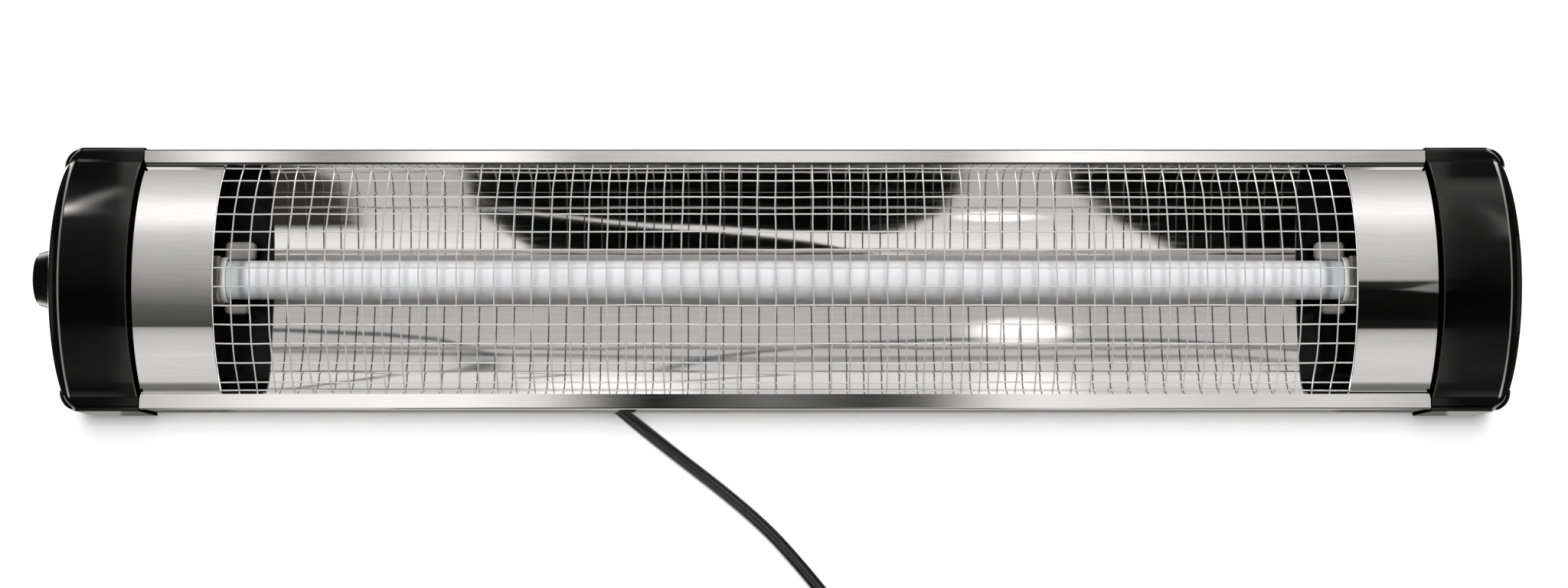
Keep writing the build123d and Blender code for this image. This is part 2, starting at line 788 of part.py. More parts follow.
with BuildPart() as switch_nut:
    with BuildSketch(Plane.YZ.offset(-side_face)):
        with Locations((0, knob_height)):
            RegularPolygon(bushing / 2 + 2, 6, major_radius=False)
            Circle(bushing / 2 + running_gap, mode=Mode.SUBTRACT)
    extrude(amount=-(nut_front - side_face))
save(switch_nut.part, "switch_nut")

with BuildPart() as switch_shaft:
    x_bar(-shaft_end, -switch_floor - 0.5, shaft / 2, 0, knob_height)
    with BuildSketch(Plane.YZ.offset(-shaft_end)):
        with Locations((0, knob_height + shaft_flat + shaft)):
            Rectangle(2 * shaft, 2 * shaft)
    extrude(amount=shaft_end - bushing_end - 1, mode=Mode.SUBTRACT)
save(switch_shaft.part, "switch_shaft")

knob_hollow = bushing / 2 + 5.5
knob_floor = bushing_end + 1.5
with BuildPart() as knob:
    with BuildSketch(Plane.XZ):
        with BuildLine():
            Polyline(
                (-knob_start, knob_height), (-knob_start, knob_height + knob_base / 2),
                (-knob_end, knob_height + knob_face / 2), (-knob_end, knob_height), close=True,
            )
        make_face()
    revolve(axis=Axis((0, 0, knob_height), (1, 0, 0)))
    fillet(knob.edges().sort_by(Axis.X)[0], 2.5)
    fillet(knob.edges().sort_by(Axis.X)[-1], 0.8)
    x_bar(-knob_floor, -knob_start, knob_hollow, 0, knob_height, mode=Mode.SUBTRACT)
    with BuildSketch(Plane.YZ.offset(-knob_floor)):
        with Locations((0, knob_height)):
            Circle(shaft / 2 + touch_gap)
        with Locations((0, knob_height + shaft_flat + touch_gap + shaft)):
            Rectangle(2 * shaft, 2 * shaft, mode=Mode.SUBTRACT)
    extrude(amount=-(shaft_end - knob_floor + 0.2), mode=Mode.SUBTRACT)
    with BuildSketch(Plane.YZ.offset(-knob_end)):
        with Locations((0, knob_height + knob_face / 4)):
            RectangleRounded(2, knob_face / 2 - 4, 0.9)
    extrude(amount=1, mode=Mode.SUBTRACT)
save(knob.part, "knob")


# Terminal block on the left cap's back wall: live, earth and neutral poles with a screw over each wire
block_near = inner_wall + 21.5
block_far = block_near + block_depth
pole_ys = [gland_side + pole_pitch, gland_side, gland_side - pole_pitch]
block_width = 3 * pole_pitch + 1
with BuildPart() as terminal_block:
    with BuildSketch(Plane.XY.offset(cap_wall)):
        with Locations((-(block_near + block_far) / 2, gland_side)):
            Rectangle(block_depth, block_width)
    extrude(amount=block_height)
    with BuildSketch(Plane.XY.offset(cap_wall + block_height - 4)):
        with Locations(*[(-(block_near + block_far) / 2, gland_side + t * pole_pitch / 2) for t in (-1, 1)]):
            Rectangle(block_depth, 1.4)
    extrude(amount=4, mode=Mode.SUBTRACT)
    with BuildSketch(Plane.XY.offset(cap_wall + block_height - 3)):
        with Locations(*[(-x, y) for x in (block_near + 5, block_far - 5) for y in pole_ys]):
            Circle(block_screw / 2 + running_gap)
    extrude(amount=3, mode=Mode.SUBTRACT)
save(terminal_block.part, "terminal_block")

with BuildPart() as block_screws:
    with BuildSketch(Plane.XY.offset(cap_wall + block_height - 3)):
        with Locations(*[(-x, y) for x in (block_near + 5, block_far - 5) for y in pole_ys]):
            Circle(block_screw / 2)
    extrude(amount=2.2)
save(block_screws.part, "block_screws")


# Strain relief clamped in the left cap's inner wall
gland_start = inner_wall + cap_wall + gland_inside
gland_end = inner_wall - gland_length
with BuildPart() as strain_relief:
    x_bar(-gland_start, -inner_wall - cap_wall, gland_flange, gland_side, gland_height)
    x_bar(-inner_wall - cap_wall, -inner_wall, gland_hole / 2 - screw_gap, gland_side, gland_height)
    x_bar(-inner_wall, -inner_wall + gland_collar, gland_flange, gland_side, gland_height)
    with BuildSketch(Plane.YZ.offset(-inner_wall + gland_collar)) as sleeve_root:
        with Locations((gland_side, gland_height)):
            Circle(gland_flange - 0.8)
    with BuildSketch(Plane.YZ.offset(-gland_end)) as sleeve_mouth:
        with Locations((gland_side, gland_height)):
            Circle(sleeve_tip)
    loft(sections=[sleeve_root.sketch, sleeve_mouth.sketch])
save(strain_relief.part, "strain_relief")


# Wires inside the caps
lead_height = gland_height


def corner_radii(points):
    """At each corner, 0.45 of the shorter run over the tangent of half the turn."""
    radii = []
    for before, here, after in zip(points, points[1:], points[2:]):
        arriving = Vector(*here) - Vector(*before)
        leaving = Vector(*after) - Vector(*here)
        half_turn = radians(arriving.get_angle(leaving)) / 2
        radii.append(0.45 * min(arriving.length, leaving.length) / tan(half_turn))
    return radii


def bent_tube(points, thickness):
    with BuildLine() as route:
        FilletPolyline(*points, radius=corner_radii(points))
    return swept(route.wire(), thickness)


lug_x = (lug_at + second_nut) / 2
lug_low = tube_height - lug_ring / 2 - 8.0
turn_x = block_far + 6.0
run_y = 66.0
run_z = cover_front + lead / 2 + 0.8
far_x = inner_wall + 16.0
supply_xs = [-gland_start, -gland_start - 4, -block_near + 4, -block_near]
with BuildPart() as supply_leads:
    for t in (-1, 0, 1):
        near_y = gland_side + t * (lead + 0.4)
        pole_y = gland_side + t * pole_pitch
        if t == 0:
            x_bar(-gland_start, -block_near, lead / 2, gland_side, lead_height)
        else:
            ys = [near_y, near_y, pole_y, pole_y]
            add(bent_tube([(x, y, lead_height) for x, y in zip(supply_xs, ys)], lead))
save(supply_leads.part, "supply_leads")

live_height = lead_height + 2 * lead
live_points = [
    (-block_far, pole_ys[0], live_height),
    (-turn_x, pole_ys[0], live_height),
    (-turn_x, switch_tab_y + 1, switch_low - tab_length - 9),
    (switch_tab_x, switch_tab_y, switch_low - tab_length - 5),
    (switch_tab_x, switch_tab_y, switch_low - tab_length),
]
save(bent_tube(live_points, lead), "live_lead")

switched_points = [
    (switch_tab_x, -switch_tab_y, switch_low - tab_length),
    (switch_tab_x, -switch_tab_y, switch_low - tab_length - 5),
    (switch_tab_x + 12, -switch_tab_y + 1, lug_low - 15),
    (-lug_x - 14, -1, lug_low - 13),
    (-lug_x, 0, lug_low - 8),
    (-lug_x, 0, lug_low),
]
save(bent_tube(switched_points, lead), "switched_lead")

neutral_points = [
    (-block_far, pole_ys[2], lead_height),
    (-turn_x, pole_ys[2], lead_height),
    (-turn_x, -run_y / 2, lead_height + 1),
    (-turn_x + 6, -run_y, run_z),
    (-inner_wall + 6, -run_y - 1, run_z),
    (inner_wall - 6, -run_y - 1, run_z),
    (far_x, -run_y, run_z + 2),
    (far_x + 6, -run_y / 2, run_z + 12),
    (far_x - 10, -6, lug_low - 12),
    (lug_x, 0, lug_low - 9),
    (lug_x, 0, lug_low),
]
save(bent_tube(neutral_points, lead), "neutral_lead")

earth_points = [
    (-block_far, pole_ys[1], lead_height),
    (-turn_x - 1, pole_ys[1], lead_height),
    (-turn_x - 1, pole_ys[1] + 20, lead_height + 1),
    (-turn_x + 12, earth_y - 14, cover_front + 4),
    (-earth_x, earth_y - 12, cover_front + lug_barrel / 2),
    (-earth_x, earth_y - 8, cover_front + lug_barrel / 2),
]
save(bent_tube(earth_points, lead), "earth_lead")

with BuildPart() as wire_lugs:
    for side in (-1, 1):
        with BuildSketch(Plane.YZ.offset(side * lug_at)):
            with Locations((0, tube_height)):
                Circle(lug_ring / 2)
                Circle(stud / 2 + screw_gap, mode=Mode.SUBTRACT)
            with Locations((0, tube_height - lug_ring / 2 - 1.5)):
                Rectangle(3.4, 4.2)
        extrude(amount=side * lug_sheet)
        with BuildSketch(Plane.XY.offset(lug_low)):
            with Locations((side * lug_x, 0)):
                Circle(lug_barrel / 2)
        extrude(amount=tube_height - lug_ring / 2 - 3 - lug_low)
    with BuildSketch(Plane.XY.offset(cover_front)):
        with Locations((-earth_x, earth_y)):
            Circle(lug_ring / 2)
            Circle(cover_screw / 2 + screw_gap, mode=Mode.SUBTRACT)
        with Locations((-earth_x, earth_y - lug_ring / 2 - 1)):
            Rectangle(3.4, 3)
    extrude(amount=lug_sheet)
    with BuildSketch(Plane.XZ.offset(-(earth_y - 8))):
        with Locations((-earth_x, cover_front + lug_barrel / 2)):
            Circle(lug_barrel / 2)
    extrude(amount=-2.5)
save(wire_lugs.part, "wire_lugs")

with BuildPart() as earth_screw:
    with BuildSketch(Plane.XY.offset(cover_front + lug_sheet)):
        with Locations((-earth_x, earth_y)):
            Circle(cover_head / 2)
    extrude(amount=1.8)
    with BuildSketch(Plane.XY.offset(cover_front + lug_sheet)):
        with Locations((-earth_x, earth_y)):
            Circle(cover_screw / 2)
    extrude(amount=-(lug_sheet + cover_sheet + 3))
save(earth_screw.part, "earth_screw")


# Supply cord: the open stretch, a coil of four turns in two layers, a tail, and the plug
def way(angle, slope=0.0):
    return Vector(cos(angle), sin(angle), slope).normalized()


entry = radians(coil_entry_angle)
entry_way = way(entry - pi / 2)
coil_in = Vector(
    coil_middle[0] + coil_start_radius * cos(entry), coil_middle[1] + coil_start_radius * sin(entry), coil_floor
)
cord_points = [
    (-gland_end, gland_side, gland_height),
    (-370, 4, 9.8),
    (-305, 0, 4.7),
    (-238, -15, 4.7),
    (-170, -50, 4.7),
    (-102, -107, 4.7),
    (-22, -168, 4.7),
    tuple(coil_in - entry_way * 55),
    tuple(coil_in),
]
print("cord radii", [round(r) for r in corner_radii(cord_points)])
power_cord = bent_tube(cord_points, cord)
save(power_cord, "power_cord")

layer_turns = coil_layer_turns
all_turns = 2 * layer_turns + 0.5


def on_cord_coil(turn):
    """Place and direction on the coil after so many turns: inward, up a layer, and outward again."""
    angle = entry - 2 * pi * turn
    half = all_turns / 2
    radius = coil_start_radius - coil_step * (half - abs(turn - half))
    inward = 0 if abs(turn - half) < 0.01 else -coil_step if turn < half else coil_step
    climb = min(max((turn - layer_turns) / 0.5, 0), 1) * pi
    place = Vector(
        coil_middle[0] + radius * cos(angle),
        coil_middle[1] + radius * sin(angle),
        coil_floor + coil_layer * (1 - cos(climb)) / 2,
    )
    outward = inward / (2 * pi * radius)
    rise = coil_layer * sin(climb) / (2 * radius)
    across = Vector(sin(angle), -cos(angle), rise) + Vector(cos(angle), sin(angle), 0) * outward
    return place, across.normalized()


coil_out, out_way = on_cord_coil(all_turns)
out_way = way(entry - pi / 2)
with BuildLine() as cord_winding:
    here = coil_in + entry_way * cord
    facing = entry_way
    Line(coil_in, here)
    for k in range(1, round(4 * all_turns)):
        there, next_facing = on_cord_coil(k / 4)
        arc_pair(here, facing, there, next_facing)
        here, facing = there, next_facing
    arc_pair(here, facing, coil_out, out_way)
    Line(coil_out, coil_out + out_way * cord)
print("cord coil least gap", round(least_gap(cord_winding.edges(), cord, 4 * cord, 4 * cord + 2000), 2))
cord_coil = swept(cord_winding.wire(), cord)
save(cord_coil, "cord_coil")

plug_height = plug_face / 2 + 0.1
tail_start = coil_out + out_way * cord
tail_runs = [(30.0, entry - pi / 2, 0.0), (34.0, radians(-29), plug_height - tail_start.Z), (32.0, radians(-9), 0.0)]
tail_points = [tail_start]
for length, heading, climb in tail_runs:
    tail_points.append(tail_points[-1] + Vector(length * cos(heading), length * sin(heading), climb))
print("tail radii", [round(r) for r in corner_radii([tuple(p) for p in tail_points])])
cord_tail = bent_tube([tuple(p) for p in tail_points], cord)
save(cord_tail, "cord_tail")

section = pi * cord**2 / 4
lengths = [power_cord.volume / section, cord_coil.volume / section, cord_tail.volume / section]
print("cord lengths by volume", [round(v, 1) for v in lengths], "wound", round(cord_winding.wire().length, 1))
print("cord in all", round(sum(lengths)))

# Plug: a round moulded body with two pins
plug_way = way(tail_runs[-1][1])
plug_side = Vector(-plug_way.Y, plug_way.X, 0)
plug_start = tail_points[-1]
with BuildPart() as plug_body:
    with BuildSketch(Plane(origin=plug_start, x_dir=plug_way, z_dir=(0, 0, 1))):
        with BuildLine():
            Line((0, 0), (0, cord / 2 + 1.4))
            Line((0, cord / 2 + 1.4), (12, cord / 2 + 1.9))
            Spline((12, cord / 2 + 1.9), (26, 11.2), (plug_length - 16, plug_face / 2), tangents=((1, 0.05), (1, 0)))
            Polyline(
                (plug_length - 16, plug_face / 2), (plug_length - 1, plug_face / 2),
                (plug_length, plug_face / 2 - 1), (plug_length, 0), (0, 0),
            )
        make_face()
    revolve(axis=Axis(plug_start, plug_way))
save(plug_body.part, "plug_body")

face_at = plug_start + plug_way * plug_length
with BuildPart() as plug_pins:
    for t in (-1, 1):
        with BuildSketch(Plane(origin=face_at + plug_side * (t * pin_spacing / 2), z_dir=plug_way)):
            Circle(pin / 2)
        extrude(amount=pin_length)
    tips = plug_pins.faces().sort_by(Axis(face_at, plug_way))[-2:].edges()
    fillet(tips, pin / 2 - 0.6)
save(plug_pins.part, "plug_pins")

# Tie round the coil
tie_angle = radians(-140)
tie_turn = (coil_entry_angle + 140) / 360
outer_turn = coil_start_radius - coil_step * tie_turn
inner_turn = coil_start_radius - coil_step * (tie_turn + 1)
tie_inside = inner_turn - cord / 2 - 0.9
tie_outside = outer_turn + cord / 2 + 0.3
tie_top = coil_floor + coil_layer + cord / 2 + 0.3
tie_out = Vector(cos(tie_angle), sin(tie_angle), 0)
tie_along = Vector(sin(tie_angle), -cos(tie_angle), 0)
tie_plane = Plane(
    origin=Vector(coil_middle[0], coil_middle[1], 0) + tie_out * ((tie_inside + tie_outside) / 2),
    x_dir=tie_out,
    z_dir=tie_along,
)
with BuildPart() as cord_tie:
    with BuildSketch(tie_plane):
        with Locations((0, (tie_sheet + tie_top) / 2)):
            RectangleRounded(tie_outside - tie_inside + 2 * tie_sheet, tie_top + tie_sheet, 2)
            RectangleRounded(tie_outside - tie_inside, tie_top - tie_sheet, 2 - tie_sheet, mode=Mode.SUBTRACT)
    extrude(amount=tie_width / 2, both=True)
save(cord_tie.part, "cord_tie")
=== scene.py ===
import bpy
import math
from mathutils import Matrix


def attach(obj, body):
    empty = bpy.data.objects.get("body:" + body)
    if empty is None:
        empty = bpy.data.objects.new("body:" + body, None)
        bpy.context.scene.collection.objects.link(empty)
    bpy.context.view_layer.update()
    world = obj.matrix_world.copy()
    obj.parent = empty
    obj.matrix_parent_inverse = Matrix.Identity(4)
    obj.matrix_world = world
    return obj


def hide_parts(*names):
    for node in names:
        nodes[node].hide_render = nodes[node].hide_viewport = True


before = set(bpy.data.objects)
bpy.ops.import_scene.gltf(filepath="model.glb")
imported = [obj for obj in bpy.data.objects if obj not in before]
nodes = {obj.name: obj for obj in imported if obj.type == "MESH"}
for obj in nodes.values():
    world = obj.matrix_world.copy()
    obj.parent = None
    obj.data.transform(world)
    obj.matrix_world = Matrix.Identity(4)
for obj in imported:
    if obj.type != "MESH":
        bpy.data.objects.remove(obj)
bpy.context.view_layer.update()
print("frame loaded:", len(nodes), "nodes")


# camera: straight down on the heater's front, leaning a little towards its lower side
camera = {
    "aim": (-0.0007, -0.011, 0.060),
    "distance": 2.0,
    "lean": 5.5,
    "lens": 64.2,
    "sensor": 36,
}


def makeCamera(c):
    lean = math.radians(c["lean"])
    data = bpy.data.cameras.new("camera")
    data.lens = c["lens"]
    data.sensor_width = c["sensor"]
    cam = bpy.data.objects.new("camera", data)
    bpy.context.scene.collection.objects.link(cam)
    x, y, z = c["aim"]
    cam.location = (x, y - c["distance"] * math.sin(lean), z + c["distance"] * math.cos(lean))
    cam.rotation_euler = (lean, 0, 0)
    bpy.context.scene.camera = cam


makeCamera(camera)


# supply cord: one smooth line out of the strain relief, round its coil and into the plug
cord = {
    "width": 0.009,
    "length": 1.8,
    # the route from the strain relief to the coil
    "route": [
        (-0.4265, 0.004, 0.0098), (-0.370, 0.004, 0.0098), (-0.305, 0, 0.0047), (-0.238, -0.015, 0.0047),
        (-0.170, -0.050, 0.0047), (-0.102, -0.107, 0.0047), (-0.022, -0.168, 0.0047), (0.0167, -0.2104, 0.0054),
    ],
    "coilMiddle": (0.008, -0.287),
    "coilRadius": 0.054,
    "coilStep": 0.0098,
    "coilFloor": 0.00545,
    "layerRise": 0.0096,
    "layerTurns": 1.75,
    "turnOver": 0.5,
    "entry": 38,
    "pointsPerTurn": 16,
    # the tail's runs to the plug: length, heading and climb
    "tail": [(0.039, -52, 0), (0.034, -29, 0.00345), (0.032, -9, 0)],
}


def coilPoint(c, turn, lift=1.0):
    # inward on the lower layer, up in the half turn where the spiral reverses, outward on the upper one
    allTurns = 2 * c["layerTurns"] + c["turnOver"]
    angle = math.radians(c["entry"]) - 2 * math.pi * turn
    radius = c["coilRadius"] - c["coilStep"] * (allTurns / 2 - abs(turn - allTurns / 2))
    climb = min(max((turn - c["layerTurns"]) / c["turnOver"], 0), 1) * math.pi
    return (
        c["coilMiddle"][0] + radius * lift * math.cos(angle),
        c["coilMiddle"][1] + radius * lift * math.sin(angle),
        c["coilFloor"] + c["layerRise"] * (1 - math.cos(climb)) / 2,
    )


def cordPoints(c):
    allTurns = 2 * c["layerTurns"] + c["turnOver"]
    steps = round(allTurns * c["pointsPerTurn"])
    lift = 1 / math.cos(math.pi / c["pointsPerTurn"])  # a spline runs inside its points
    points = list(c["route"]) + [coilPoint(c, 0)]
    points += [coilPoint(c, allTurns * k / steps, lift) for k in range(1, steps)]
    points.append(coilPoint(c, allTurns))
    for length, heading, climb in c["tail"]:
        x, y, z = points[-1]
        turn = math.radians(heading)
        points.append((x + length * math.cos(turn), y + length * math.sin(turn), z + climb))
    return points


def makeCord(c):
    curve = bpy.data.curves.new("supplyCord", "CURVE")
    curve.dimensions = "3D"
    spline = curve.splines.new("NURBS")
    points = cordPoints(c)
    spline.points.add(len(points) - 1)
    for point, place in zip(spline.points, points):
        point.co = (*place, 1)
        point.radius = c["width"] / 2
    spline.order_u = 3
    spline.use_endpoint_u = True
    spline.resolution_u = 8
    curve.bevel_depth = 1.0
    curve.bevel_resolution = 6
    curve.use_fill_caps = True
    piece = bpy.data.objects.new("supplyCord", curve)
    bpy.context.scene.collection.objects.link(piece)
    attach(piece, "housing")
    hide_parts("power_cord", "cord_coil", "cord_tail")
    return piece


supplyCord = makeCord(cord)
print("cord made")


# small helpers for material node trees
def newMaterial(name):
    material = bpy.data.materials.new(name)
    material.use_nodes = True
    tree = material.node_tree
    return material, tree, tree.nodes["Principled BSDF"]


def objectCoords(tree, scale=(1, 1, 1), shift=(0, 0, 0)):
    coords = tree.nodes.new("ShaderNodeTexCoord")
    mapping = tree.nodes.new("ShaderNodeMapping")
    mapping.inputs["Scale"].default_value = scale
    mapping.inputs["Location"].default_value = shift
    tree.links.new(coords.outputs["Object"], mapping.inputs["Vector"])
    return mapping.outputs["Vector"]


def noise(tree, vector, scale, detail=4.0, rough=0.5):
    node = tree.nodes.new("ShaderNodeTexNoise")
    node.inputs["Scale"].default_value = scale
    node.inputs["Detail"].default_value = detail
    node.inputs["Roughness"].default_value = rough
    tree.links.new(vector, node.inputs["Vector"])
    return node.outputs["Fac"]


def spread(tree, value, low, high, start=0.3, end=0.7):
    # start..end of a value becomes low..high; a noise is mostly from 0.3 to 0.7
    node = tree.nodes.new("ShaderNodeMapRange")
    node.inputs["From Min"].default_value = start
    node.inputs["From Max"].default_value = end
    node.inputs["To Min"].default_value = low
    node.inputs["To Max"].default_value = high
    tree.links.new(value, node.inputs["Value"])
    return node.outputs["Result"]


def blendColours(tree, value, first, second, start=0.3, end=0.7):
    node = tree.nodes.new("ShaderNodeValToRGB")
    for element, position, colour in zip(node.color_ramp.elements, (start, end), (first, second)):
        element.position = position
        element.color = (*colour, 1)
    tree.links.new(value, node.inputs["Fac"])
    return node.outputs["Color"]


def bump(tree, shader, height, distance, base=None):
    node = tree.nodes.new("ShaderNodeBump")
    if base:
        tree.links.new(base, node.inputs["Normal"])
    node.inputs["Distance"].default_value = distance
    node.inputs["Strength"].default_value = 1.0
    tree.links.new(height, node.inputs["Height"])
    tree.links.new(node.outputs["Normal"], shader.inputs["Normal"])


def math2(tree, operation, first, second=None):
    node = tree.nodes.new("ShaderNodeMath")
    node.operation = operation
    for k, value in enumerate((first, second)):
        if value is None:
            continue
        if isinstance(value, (int, float)):
            node.inputs[k].default_value = value
        else:
            tree.links.new(value, node.inputs[k])
    return node.outputs[0]


def mixColours(tree, factor, first, second, how="MIX"):
    # a colour or a socket on each side, and a number or a socket for how much of the second
    node = tree.nodes.new("ShaderNodeMix")
    node.data_type = "RGBA"
    node.blend_type = how
    if isinstance(factor, float):
        node.inputs["Factor"].default_value = factor
    else:
        tree.links.new(factor, node.inputs["Factor"])
    for socket, value in zip([i for i in node.inputs if i.type == "RGBA"], (first, second)):
        if isinstance(value, tuple):
            socket.default_value = (*value, 1)
        else:
            tree.links.new(value, socket)
    return [o for o in node.outputs if o.type == "RGBA"][0]


def axes(tree, output="Object"):
    coords = tree.nodes.new("ShaderNodeTexCoord")
    split = tree.nodes.new("ShaderNodeSeparateXYZ")
    tree.links.new(coords.outputs[output], split.inputs["Vector"])
    return split.outputs


def past(tree, value, edge, soft):
    # 0 before an edge, 1 past it
    node = tree.nodes.new("ShaderNodeMapRange")
    node.interpolation_type = "SMOOTHSTEP"
    node.inputs["From Min"].default_value = -soft
    node.inputs["From Max"].default_value = soft
    tree.links.new(math2(tree, "SUBTRACT", value, edge), node.inputs["Value"])
    return node.outputs["Result"]


def both(tree, first, second):
    return math2(tree, "MULTIPLY", first, second)


def opposite(tree, value):
    return math2(tree, "SUBTRACT", 1.0, value)


def between(tree, value, low, high, soft):
    # 1 from a low edge to a high one
    return both(tree, past(tree, value, low, soft), opposite(tree, past(tree, value, high, soft)))


def lipNormal(tree, lip):
    # the turned-up edges of a sheet are shaded at a gentler slope, which grows outwards
    y = axes(tree)[1]
    away = math2(tree, "ABSOLUTE", y)
    slope = spread(tree, away, *lip["slopes"], *lip["span"])
    aside = tree.nodes.new("ShaderNodeCombineXYZ")
    tree.links.new(both(tree, math2(tree, "SIGN", y), both(tree, slope, -1.0)), aside.inputs["Y"])
    aside.inputs["Z"].default_value = 1.0
    toWorld = tree.nodes.new("ShaderNodeVectorTransform")
    toWorld.vector_type = "NORMAL"
    toWorld.convert_from = "OBJECT"
    toWorld.convert_to = "WORLD"
    tree.links.new(aside.outputs["Vector"], toWorld.inputs["Vector"])
    own = tree.nodes.new("ShaderNodeNewGeometry")
    mix = tree.nodes.new("ShaderNodeMix")
    mix.data_type = "VECTOR"
    front = past(tree, axes(tree, "Normal")[2], 0.0, lip["frontSoft"])
    tree.links.new(both(tree, front, past(tree, away, lip["span"][0], lip["blend"])), mix.inputs["Factor"])
    ways = [i for i in mix.inputs if i.type == "VECTOR"]
    tree.links.new(own.outputs["Normal"], ways[-2])
    tree.links.new(toWorld.outputs["Vector"], ways[-1])
    unit = tree.nodes.new("ShaderNodeVectorMath")
    unit.operation = "NORMALIZE"
    tree.links.new([o for o in mix.outputs if o.type == "VECTOR"][0], unit.inputs[0])
    return unit.outputs["Vector"]


def metal(name, first, second, roughness, grain, depth, stretch=(1, 1, 1), wave=None, shine=1.0):
    # a metal whose colour and polish vary along its rolling grain, and whose sheet waves a little
    material, tree, shader = newMaterial(name)
    shader.inputs["Metallic"].default_value = shine
    coords = objectCoords(tree, stretch)
    fine = noise(tree, coords, grain)
    tree.links.new(blendColours(tree, fine, first, second), shader.inputs["Base Color"])
    tree.links.new(spread(tree, fine, *roughness), shader.inputs["Roughness"])
    if wave:
        broad = noise(tree, objectCoords(tree, wave["stretch"]), wave["scale"], 1.0)
        if "lean" in wave:
            # a sheet that sits a little out of level and is bowed a little along its length
            x, y, _ = axes(tree)
            slant = both(tree, y, math.tan(math.radians(wave["lean"])))
            sag = both(tree, both(tree, x, x), wave["bow"] / 2)
            swell = both(tree, broad, wave["depth"])
            height = math2(tree, "ADD", math2(tree, "ADD", slant, sag), swell)
            bump(tree, shader, height, 1.0, base=lipNormal(tree, wave["lip"]) if "lip" in wave else None)
        else:
            bump(tree, shader, broad, wave["depth"])
    else:
        bump(tree, shader, fine, depth)
    return material


# how much larger than its grain the clouds in a plastic are
cloudiness = 40


def plastic(name, first, second, roughness, grain, depth, level=0.5):
    # plastic, rubber, enamel or ceramic: cloudy colour and polish over a fine grain
    material, tree, shader = newMaterial(name)
    coords = objectCoords(tree)
    fine = noise(tree, coords, grain)
    broad = noise(tree, coords, grain / cloudiness, 2.0)
    shader.inputs["Specular IOR Level"].default_value = level
    tree.links.new(blendColours(tree, broad, first, second), shader.inputs["Base Color"])
    tree.links.new(spread(tree, broad, *roughness), shader.inputs["Roughness"])
    bump(tree, shader, fine, depth)
    return material


polishedSteel = metal(
    "polishedSteel", (0.75, 0.75, 0.748), (0.80, 0.80, 0.798), (0.02, 0.045), 90, 0, (0.4, 6, 6),
    wave={"stretch": (1, 1, 1), "scale": 9, "depth": 0.00001},
)
railSteel = metal(
    "railSteel", (0.76, 0.76, 0.758), (0.81, 0.81, 0.808), (0.02, 0.045), 90, 0, (0.4, 6, 6),
    wave={"stretch": (1, 1, 1), "scale": 9, "depth": 0.00001, "lean": 3.0, "bow": 0.05},
)
# painted shade on the rails' edges: the inner edge's span, the outer edge, the height under which the outer wall
# darkens, their softness and the painted shade colour
railEdgeShade = {
    "inner": (0.0800, 0.0841), "outer": 0.0926, "below": 0.048, "soft": 0.0003, "fade": 0.004,
    "shade": (0.045, 0.045, 0.045),
}
mirrorSheet = metal(
    "mirrorSheet", (0.78, 0.775, 0.765), (0.84, 0.835, 0.825), (0.02, 0.045), 60, 0, (0.4, 6, 6),
    wave={
        "stretch": (1, 2, 2), "scale": 9, "depth": 0.00010, "lean": 4.5, "bow": 0.0,
        "lip": {"span": (0.0655, 0.0825), "slopes": (0.31, 0.46), "blend": 0.0015, "frontSoft": 0.03},
    },
)
brushedSteel = metal("brushedSteel", (0.42, 0.42, 0.43), (0.56, 0.56, 0.57), (0.25, 0.42), 120, 0.00001, (0.1, 8, 8))
wireLook = ((0.70, 0.70, 0.70), (0.80, 0.80, 0.80), (0.16, 0.28), 700, 0.00001)
guardWire = metal("guardWire", *wireLook, shine=0.35)
rodWire = metal("rodWire", *wireLook, shine=0.35)
# painted shade on the wires' undersides: the colour for the hoops and for the rods, and the normal heights over which
# it fades in
undersideShade = {"hoops": (0.10, 0.098, 0.095), "rods": (0.80, 0.79, 0.78), "edges": (-0.35, 0.15)}
capInside = {"facing": (-0.20, -0.05), "level": 0.5}


def recolour(material, factor, colour):
    # mixes a colour into a material's own by a factor
    tree = material.node_tree
    base = tree.nodes["Principled BSDF"].inputs["Base Color"]
    tree.links.new(mixColours(tree, factor, base.links[0].from_socket, colour), base)


def paintUndersideShade(material, u, part):
    # painted shade: the side of each wire that faces the tube is coloured darker, standing in for the shadow on it
    tree = material.node_tree
    recolour(material, spread(tree, axes(tree, "Normal")[2], 1, 0, *u["edges"]), u[part])


def paintEdgeShade(material, e):
    # painted shade: the top rail's inner and outer edges and the lower part of the bottom rail's outer wall are
    # coloured dark, standing in for the shadow gap under the rail and the contact shadow
    tree = material.node_tree
    _, y, z = axes(tree)
    inner = between(tree, y, *e["inner"], e["soft"])
    upper = past(tree, y, e["outer"], e["soft"])
    low = opposite(tree, past(tree, z, e["below"], e["fade"]))
    lower = both(tree, past(tree, both(tree, y, -1.0), e["outer"], e["soft"]), low)
    dark = math2(tree, "MAXIMUM", inner, math2(tree, "MAXIMUM", upper, lower))
    recolour(material, dark, e["shade"])


def dullInside(material, c):
    # the faces of a cap that look towards the heater's middle don't shine
    tree = material.node_tree
    inward = both(tree, axes(tree, "Normal")[0], axes(tree)[0])
    level = spread(tree, inward, 0, c["level"], *c["facing"])
    tree.links.new(level, tree.nodes["Principled BSDF"].inputs["Specular IOR Level"])


